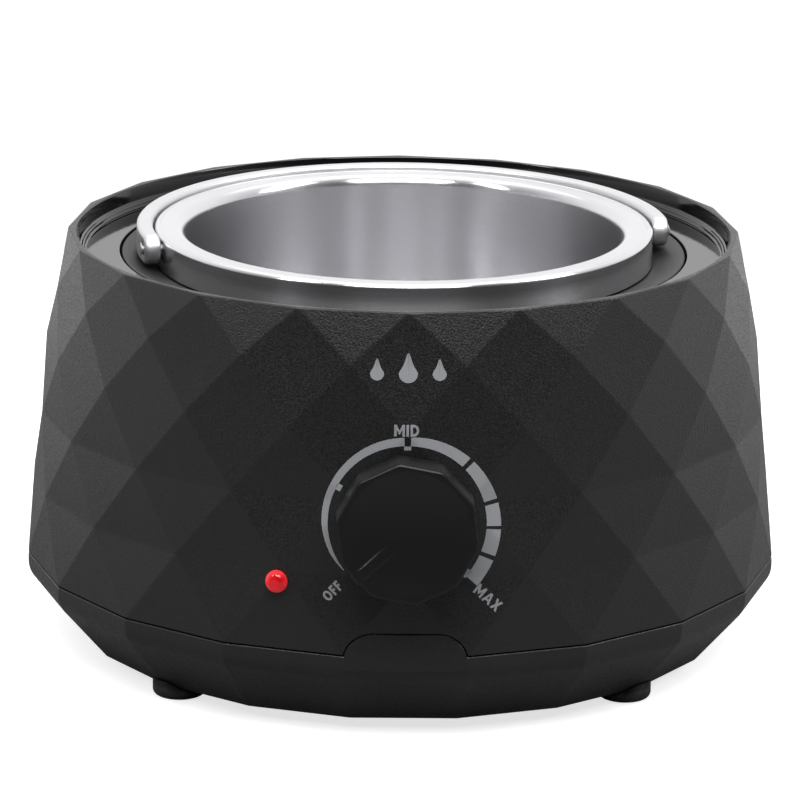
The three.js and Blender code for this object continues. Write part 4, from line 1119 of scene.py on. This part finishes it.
@dataclass
class DialPrint:
    """Grey screen print on the facets: a dial band that widens from OFF to MAX, its marks and words."""

    inner: float = 19
    proud: float = 0.05
    stroke: float = 0.21
    letter_gap: float = 0.13
    widths: tuple[tuple[float, float], ...] = (           # share of the way from OFF to MAX, width
        (0, 0.25), (0.06, 0.95), (0.15, 1.5), (0.3, 1.8), (0.49, 2.1), (0.65, 2.75), (0.84, 3.5), (1, 3.8))
    stretches: tuple[tuple[float, float], ...] = (        # first and last angle of each stretch, degrees
        (-128, -2.2), (2.2, 43.4), (46.6, 74.6), (77.4, 92), (94.2, 111), (114, 132))
    ticks: tuple[tuple[float, ...], ...] = (              # angle, inner and outer radius, half width
        (0, 18.1, 19.05, 0.85), (-62, 17.9, 19.3, 0.8), (130.2, 17.6, 19.6, 1.1))
    words: tuple[tuple, ...] = (                          # letters, middle, turn, height of a capital
        ("OFF", (-17.8, -17.0), 46, 2.6), ("MAX", (19.8, -18.4), -42, 2.75), ("MID", (-0.3, 22.9), 0, 2.85))
    drop_row: tuple[tuple[float, float], ...] = ((-7.5, 1.7), (0, 2.3), (7.5, 1.7))       # middle, radius
    drop_height: float = 36.5

    def build(self) -> bpy.types.Object:
        """Flat patches on fine grids, laid on the facets along the knob's shaft and given a thickness."""
        patches = [self.band(*stretch) for stretch in self.stretches]
        patches += [self.bar(*tick) for tick in self.ticks]
        sheets = [self.grid_sheet(grid) for grid in patches]
        sheets += [self.word(*word) for word in self.words]
        return self.joined(sheets + self.drops())

    def band(self, start: float, end: float) -> np.ndarray:
        """Stretch of the band between two angles from the top, clockwise, in degrees.

        The inner edge stays on its circle, and the outer one moves out evenly from the OFF end to
        the MAX end.
        """
        angle = np.radians(np.linspace(start, end, max(4, int(abs(end - start) / 1.5))))
        share = (np.degrees(angle) + 128) / 260
        inner = self.inner + 0.3 * share
        outer = inner + np.interp(share, *zip(*self.widths))
        across = np.linspace(0, 1, 7)[:, None]
        radius = inner + (outer - inner) * across
        return np.stack([radius * np.sin(angle), radius * np.cos(angle)], -1)

    def bar(self, angle: float, low: float, high: float, half_width: float) -> np.ndarray:
        """Short mark along a spoke at an angle from the top, between two radii."""
        spoke = np.radians(angle)
        radius, side = np.meshgrid(np.linspace(low, high, 5), np.linspace(-half_width, half_width, 6),
                                   indexing="ij")
        return np.stack([radius * np.sin(spoke) + side * np.cos(spoke),
                         radius * np.cos(spoke) - side * np.sin(spoke)], -1)

    def grid_sheet(self, grid: np.ndarray) -> tuple[np.ndarray, list]:
        """Points and faces of an open grid in the dial's plane."""
        rows, columns = grid.shape[:2]
        row, column = np.meshgrid(np.arange(rows - 1), np.arange(columns - 1), indexing="ij")
        low = row * columns + column
        quads = np.stack([low, low + columns, low + columns + 1, low + 1], -1)
        return grid.reshape(-1, 2), quads.reshape(-1, 4).tolist()

    def word(self, text: str, spot: tuple[float, float], turn: float, size: float) -> tuple[np.ndarray, list]:
        """Points and faces of a word in the dial's plane, cut fine enough to follow the facets.

        Args:
            text: capital letters that have an outline in letter().
            spot: middle of the word in the dial's plane, mm.
            turn: turn of the word from upright, anticlockwise, in degrees.
            size: height of a capital, mm.

        Returns:
            Points in the dial's plane and faces as lists of corners.
        """
        work, start = bmesh.new(), 0.0
        for character in text:
            outlines = self.letter(character)
            for outline in outlines:
                work.faces.new([work.verts.new((x + start, y - 0.5, 0)) for x, y in outline])
            start += max(x for outline in outlines for x, _ in outline) + self.letter_gap
        bmesh.ops.remove_doubles(work, verts=work.verts, dist=0.001)
        bmesh.ops.recalc_face_normals(work, faces=work.faces)
        bmesh.ops.triangulate(work, faces=work.faces)
        bmesh.ops.subdivide_edges(work, edges=work.edges, cuts=2, use_grid_fill=True)
        flat = np.array([vertex.co[:2] for vertex in work.verts])
        facing_up = next(iter(work.faces)).normal.z > 0
        faces = [[vertex.index for vertex in face.verts][::1 if facing_up else -1] for face in work.faces]
        work.free()
        angle = math.radians(turn)
        rotation = np.array([[math.cos(angle), math.sin(angle)], [-math.sin(angle), math.cos(angle)]])
        return (flat - ((start - self.letter_gap) / 2, 0)) * size @ rotation + spot, faces

    def letter(self, character: str) -> list[list[tuple[float, float]]]:
        """Outlines of a bold capital one unit high. O and D are two halves, and so is A."""
        s = self.stroke
        if character == "I":
            return [[(0, 0), (s, 0), (s, 1), (0, 1)]]
        if character == "F":
            return [[(0, 0), (s, 0), (s, 0.4), (0.42, 0.4), (0.42, 0.4 + s), (s, 0.4 + s), (s, 1 - s),
                     (0.47, 1 - s), (0.47, 1), (0, 1)]]
        if character == "M":
            return [[(0, 0), (s, 0), (s, 0.56), (0.45, 0.12), (0.9 - s, 0.56), (0.9 - s, 0), (0.9, 0),
                     (0.9, 1), (0.9 - s, 1), (0.45, 0.5), (s, 1), (0, 1)]]
        if character == "X":
            return [[(0, 0), (1.2 * s, 0), (0.38, 0.33), (0.76 - 1.2 * s, 0), (0.76, 0), (0.52, 0.5),
                     (0.76, 1), (0.76 - 1.2 * s, 1), (0.38, 0.67), (1.2 * s, 1), (0, 1), (0.24, 0.5)]]
        if character == "A":
            half = [(0, 0), (0.43 - 0.55 * s, 1), (0.43, 1), (0.43, 0.76), (0.33, 0.42), (0.43, 0.42),
                    (0.43, 0.22), (0.27, 0.22), (1.05 * s, 0)]
            return [half, [(0.86 - x, y) for x, y in half]]
        sweep = np.linspace(0, math.pi / 2 if character == "D" else math.pi, 15)
        wide = 0.72 if character == "D" else 0.76
        reach = 0.42 if character == "D" else wide / 2
        outer = [(wide - reach + reach * math.cos(a), 0.5 + 0.5 * math.sin(a)) for a in sweep]
        inner = [(wide - reach + (reach - s) * math.cos(a), 0.5 + (0.5 - s) * math.sin(a)) for a in sweep]
        left = [(0, 1), (0, 0.5), (s, 0.5), (s, 1 - s)] if character == "D" else []
        half = outer + left + inner[::-1]
        return [half, [(x, 1 - y) for x, y in half]]

    def drops(self) -> list[tuple[np.ndarray, list]]:
        """A plain row of three wax drops above the dial: each a circle drawn up to a point."""
        sheets = []
        for x, size in self.drop_row:
            angle = np.linspace(0, 2 * math.pi, 49)
            share = np.linspace(0.02, 1, 6)[:, None]
            lift = np.maximum(np.cos(angle), 0) ** 6 * 1.1
            narrowing = 1 - 0.35 * np.maximum(np.cos(angle), 0)
            outline = np.stack([np.sin(angle) * narrowing, np.cos(angle) + lift], -1)
            grid = outline[None] * share[..., None] * size + (x, self.drop_height)
            sheets.append(self.grid_sheet(grid))
        return sheets

    def joined(self, sheets: list[tuple[np.ndarray, list]]) -> bpy.types.Object:
        """All the sheets laid on the facets as one thin solid."""
        offset, points, faces = 0, [], []
        for flat, sheet_faces in sheets:
            points.append(flat)
            faces += [[corner + offset for corner in face] for face in sheet_faces]
            offset += len(flat)
        flat = np.concatenate(points)
        starts = placed(np.column_stack([flat, np.full(len(flat), 20.0)]), DIAL_PLACE)
        out = np.array(DIAL_PLACE.to_3x3().col[2])
        on_shell = LATTICE.surface_from(starts, -out)
        count = len(flat)
        corner = [np.array(face) for face in faces]
        top, bottom = on_shell + out * self.proud, on_shell - out * self.proud
        walls = self.walls(faces)
        solid = [*[face.tolist() for face in corner], *[(face[::-1] + count).tolist() for face in corner],
                 *np.column_stack([walls[:, ::-1], walls + count]).tolist()]
        return mesh_piece("dial_print", np.concatenate([top, bottom]), solid, sharp=30)

    def walls(self, faces: list) -> np.ndarray:
        """Edges that only one face has, as pairs of corners in that face's order."""
        sizes = np.array([len(face) for face in faces])
        start = np.concatenate(faces)
        ends = np.cumsum(sizes)
        after = np.arange(1, len(start) + 1)
        after[ends - 1] = ends - sizes
        edges = np.column_stack([start, start[after]])
        pair = np.sort(edges, 1)
        _, inverse, uses = np.unique(pair, axis=0, return_inverse=True, return_counts=True)
        return edges[uses[inverse.ravel()] == 1]

    def dress(self, print_: bpy.types.Object) -> None:
        """Light grey screen ink."""
        finish_piece(print_, (SCREEN_INK,), "housing")


@dataclass
class LampLens:
    """Clear red dome on a short stem, through the front of the shell."""

    radius: float = 2.75
    stem: float = 2.35

    def build(self) -> bpy.types.Object:
        """A turned dome: low rim, then an arc up to the axis, over a stem in the hole."""
        outline = rounded([
            (0, -6.8), (self.stem, -6.8, 0.2), (self.stem, 0.15), (self.radius, 0.15, 0.1),
            (self.radius, 2.45, 1.9), (0, 2.45)], steps=12)
        return turned_piece("lamp_lens_fine", outline, SMALL_ROUND, LAMP_PLACE)

    def dress(self, lens: bpy.types.Object) -> None:
        """Polished red acrylic, with a painted edge highlight, painted shade in the middle and a painted glow.
        """
        finish_piece(lens, (RED_ACRYLIC_PAINTED_LIGHT,), "housing", ("lamp_lens",))


# ---------------------------------------------------------------------------------------------
# Inlet and the inner parts that keep their CAD shape


@dataclass
class Inlet:
    """Figure-8 mains inlet in the back of the housing."""

    half_width: float = 10.7
    half_height: float = 6.45
    depth: float = 17
    well_depth: float = 12
    well_radius: float = 4.1
    spacing: float = 8.6
    columns: int = 96

    def __post_init__(self) -> None:
        """Stand the inlet's face where the frame has it."""
        _, high = (np.array(corner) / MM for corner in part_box("inlet_socket"))
        height = middle("inlet_pin_left")[2]
        self.place = Matrix.Translation((0, high[1], height)) @ Matrix.Rotation(math.pi, 4, "Z") \
            @ Matrix.Rotation(math.pi / 2, 4, "X")

    def build(self) -> bpy.types.Object:
        """Rows of outlines at matching angles: the body from back to front, then down into the well."""
        angle = np.arange(self.columns) * 2 * math.pi / self.columns
        way = np.column_stack([np.cos(angle), np.sin(angle)])
        body = self.box_outline(way, self.half_width, self.half_height)
        flange = self.box_outline(way, self.half_width + 2.2, self.half_height + 1.9)
        well = self.well_outline(way)
        inner = self.box_outline(way, self.half_width - 0.4, self.half_height - 0.4)
        rows = [(body * 0, -self.depth), (body, -self.depth), (body, -8.6), (flange, -8.6), (flange, -6.6),
                (body, -6.6), (body, -0.4), (inner, 0), (well * 1.04, 0), (well, -0.3),
                (well * 0.985, -self.well_depth), (well * 0, -self.well_depth)]
        points = np.stack([np.column_stack([outline, np.full(self.columns, height)])
                           for outline, height in rows])
        socket = grid_piece("inlet_socket_fine", placed(points, self.place), sharp=30)
        return soften(socket)

    def box_outline(self, way: np.ndarray, half_width: float, half_height: float) -> np.ndarray:
        """Rounded rectangle: each spoke ends where the eighth powers of its shares add up to one."""
        share = (np.abs(way[:, 0] / half_width) ** 8 + np.abs(way[:, 1] / half_height) ** 8) ** (-1 / 8)
        return way * share[:, None]

    def well_outline(self, way: np.ndarray) -> np.ndarray:
        """Figure 8: each spoke ends at the farther of two circles and the web between them."""
        offset = self.spacing / 2 * np.abs(way[:, 0])
        inside = self.well_radius ** 2 - (self.spacing / 2 * way[:, 1]) ** 2
        circles = np.where(inside > 0, offset + np.sqrt(np.maximum(inside, 0)), 0)
        web = np.minimum((self.well_radius - 0.5) / np.maximum(np.abs(way[:, 1]), 1e-6), self.spacing)
        return way * np.maximum(circles, np.where(np.abs(way[:, 1]) > 0.5, web, 0))[:, None]

    def pin(self, name: str, side: int) -> bpy.types.Object:
        """A turned pin with a rounded nose."""
        outline = rounded([(0, -22), (1.2, -22, 0.2), (1.2, -1.6, 0.9), (0, -1.6)])
        place = self.place @ Matrix.Translation((side * self.spacing / 2, 0, 0))
        return turned_piece(f"inlet_pin_{name}_fine", outline, 32, place)

    def dress(self, socket: bpy.types.Object) -> None:
        """Black nylon and nickel-plated pins."""
        finish_piece(socket, (BLACK_NYLON,), "housing", ("inlet_socket",))
        for name, side in (("left", -1), ("right", 1)):
            finish_piece(self.pin(name, side), (NICKEL,), "housing", (f"inlet_pin_{name}",))


INNER_FINISHES = {
    "heater_band": SHEET_STEEL, "band_clamp_screw": ZINC_STEEL, "band_clamp_nut": ZINC_STEEL,
    "thermal_fuse": CERAMIC, "fuse_clip": SHEET_STEEL, "thermostat_body": PHENOLIC, "thermostat_bush": BRASS,
    "thermostat_nut": ZINC_STEEL, "thermostat_shaft": NICKEL, "lamp_retainer": SHEET_STEEL,
    "neon_bulb": LAMP_GLASS, "lead_inlet_thermostat": BROWN_SILICONE,
    "lead_thermostat_heater": BROWN_SILICONE,
    "lead_inlet_fuse": BLUE_SILICONE, "lead_fuse_heater": BLUE_SILICONE,
    **{f"seat_ring_screw_{i}": ZINC_STEEL for i in (1, 2, 3)},
    **{f"foot_screw_{place}": ZINC_STEEL for place in FEET},
}


def dress_inner_parts() -> None:
    """Give each inner CAD node that stays its own finish."""
    for name, finish in INNER_FINISHES.items():
        node = frame["nodes"][name]
        node.data.materials.clear()
        node.data.materials.append(finish.material())
        log.info("%s keeps its shape", name)


# ---------------------------------------------------------------------------------------------
# Studio


@dataclass
class Studio:
    """Pale floor, white surround that is dimmer in front, soft lights and the camera."""

    azimuth: float = -0.99
    elevation: float = 15.75
    roll: float = 0.7
    distance: float = 1.162
    aim_height: float = 0.0611
    aim_across: float = -0.0004
    lens: float = 201.1
    floor_radius: float = 420.0
    paper_glow: float = 0.72

    def camera(self) -> None:
        """Long-lens camera that looks down a little at the middle of the housing."""
        a, e, r = (math.radians(angle) for angle in (self.azimuth, self.elevation, self.roll))
        back = Vector((math.sin(a) * math.cos(e), -math.cos(a) * math.cos(e), math.sin(e)))
        right = (-back).cross(Vector((0, 0, 1))).normalized()
        up = right.cross(-back)
        across = math.cos(r) * right + math.sin(r) * up
        upward = -math.sin(r) * right + math.cos(r) * up
        aim = Vector((AXIS[0] * MM + self.aim_across, AXIS[1] * MM, self.aim_height))
        data = bpy.data.cameras.new("camera")
        data.lens, data.sensor_width, data.clip_end = self.lens, 36, 20
        camera = bpy.data.objects.new("camera", data)
        turn = Matrix((across, upward, back)).transposed().to_4x4()
        camera.matrix_world = Matrix.Translation(aim + back * self.distance) @ turn
        bpy.context.scene.collection.objects.link(camera)
        bpy.context.scene.camera = camera

    def floor(self) -> None:
        """Round paper floor that is white and glows for the lens, and a dim grey for the object's light."""
        outline = np.array([(0.0, -4.0), (self.floor_radius, -4.0), (self.floor_radius, -0.02), (0.0, -0.02)])
        floor = grid_piece("floor", placed(carried(outline, circle_spokes(128))))
        paper = bpy.data.materials.new("floor_paper_white")
        paper.use_nodes = True
        tree = paper.node_tree
        shader = tree.nodes["Principled BSDF"]
        seen = add_node(tree, "ShaderNodeLightPath").outputs["Is Camera Ray"]
        for_light, for_lens = colour("#7c7c7c"), colour("#c8c8c8")
        tone = add_node(tree, "ShaderNodeMix", {"data_type": "RGBA", 6: for_light, 7: for_lens}, {0: seen})
        tree.links.new(tone.outputs[2], shader.inputs["Base Color"])
        glow = add_node(tree, "ShaderNodeMath", {"operation": "MULTIPLY", 1: self.paper_glow}, {0: seen})
        tree.links.new(glow.outputs["Value"], shader.inputs["Emission Strength"])
        shader.inputs["Emission Color"].default_value = (1, 1, 1, 1)
        shader.inputs["Roughness"].default_value = 0.9
        floor.data.materials.append(paper)

    def surround(self) -> None:
        """White surround for the lens, and for light a surround that is dim in front and white behind."""
        world = bpy.data.worlds.new("surround")
        bpy.context.scene.world = world
        world.use_nodes = True
        tree = world.node_tree
        way = add_node(tree, "ShaderNodeTexCoord").outputs["Generated"]
        parts = add_node(tree, "ShaderNodeSeparateXYZ", {}, {"Vector": way})
        share = add_node(tree, "ShaderNodeMapRange", {
            "From Min": -1.0, "From Max": 0.8, "To Min": 0.03, "To Max": 1.15,
            "interpolation_type": "SMOOTHSTEP"}, {"Value": parts.outputs["Y"]})
        seen = add_node(tree, "ShaderNodeLightPath").outputs["Is Camera Ray"]
        light = tree.nodes["Background"]
        tree.links.new(share.outputs["Result"], light.inputs["Strength"])
        light.inputs["Color"].default_value = (1, 1, 1, 1)
        white = add_node(tree, "ShaderNodeBackground", {"Color": (1, 1, 1, 1), "Strength": 1.05})
        mix = add_node(tree, "ShaderNodeMixShader", {}, {0: seen, 1: light.outputs[0], 2: white.outputs[0]})
        tree.links.new(mix.outputs[0], tree.nodes["World Output"].inputs["Surface"])

    def lamp(self, name: str, spot: Vector, size: tuple[float, float], power: float) -> None:
        """Oblong soft light, so wide and so tall, that faces the middle of the housing."""
        data = bpy.data.lights.new(name, "AREA")
        data.shape, data.size, data.size_y, data.energy = "RECTANGLE", *size, power
        lamp = bpy.data.objects.new(name, data)
        aim = Vector((0, 0, 0.05))
        lamp.location = spot
        lamp.rotation_mode = "QUATERNION"
        lamp.rotation_quaternion = (aim - spot).to_track_quat("-Z", "Y")
        bpy.context.scene.collection.objects.link(lamp)

    def build(self) -> None:
        """Camera, floor, surround and lights."""
        self.camera()
        self.floor()
        self.surround()
        self.lamp("back_softbox", Vector((0, 0.6, 1.5)), (1.4, 1.4), 5)
        self.lamp("front_softbox", Vector((0.02, -0.8, 1.15)), (1.0, 0.5), 15)
        self.lamp("left_strip", Vector((-0.85, -0.5, 1.0)), (0.12, 0.7), 4)
        self.lamp("right_strip", Vector((0.98, -0.15, 1.0)), (0.3, 0.7), 7)
        bpy.context.scene.view_settings.view_transform = "Standard"


def main() -> None:
    """Build every sub-assembly in order."""
    logging.basicConfig(level=logging.INFO, format="%(name)s %(message)s")
    Studio().build()
    for assembly in (UpperShell(), BaseShell(), *(Foot(place) for place in FEET), SeatRing(), HeaterWell(),
                     Pot(), Bail(), Knob(), DialPrint(), LampLens(), Inlet()):
        assembly.dress(assembly.build())
    dress_inner_parts()


if __name__ == "__main__":
    main()
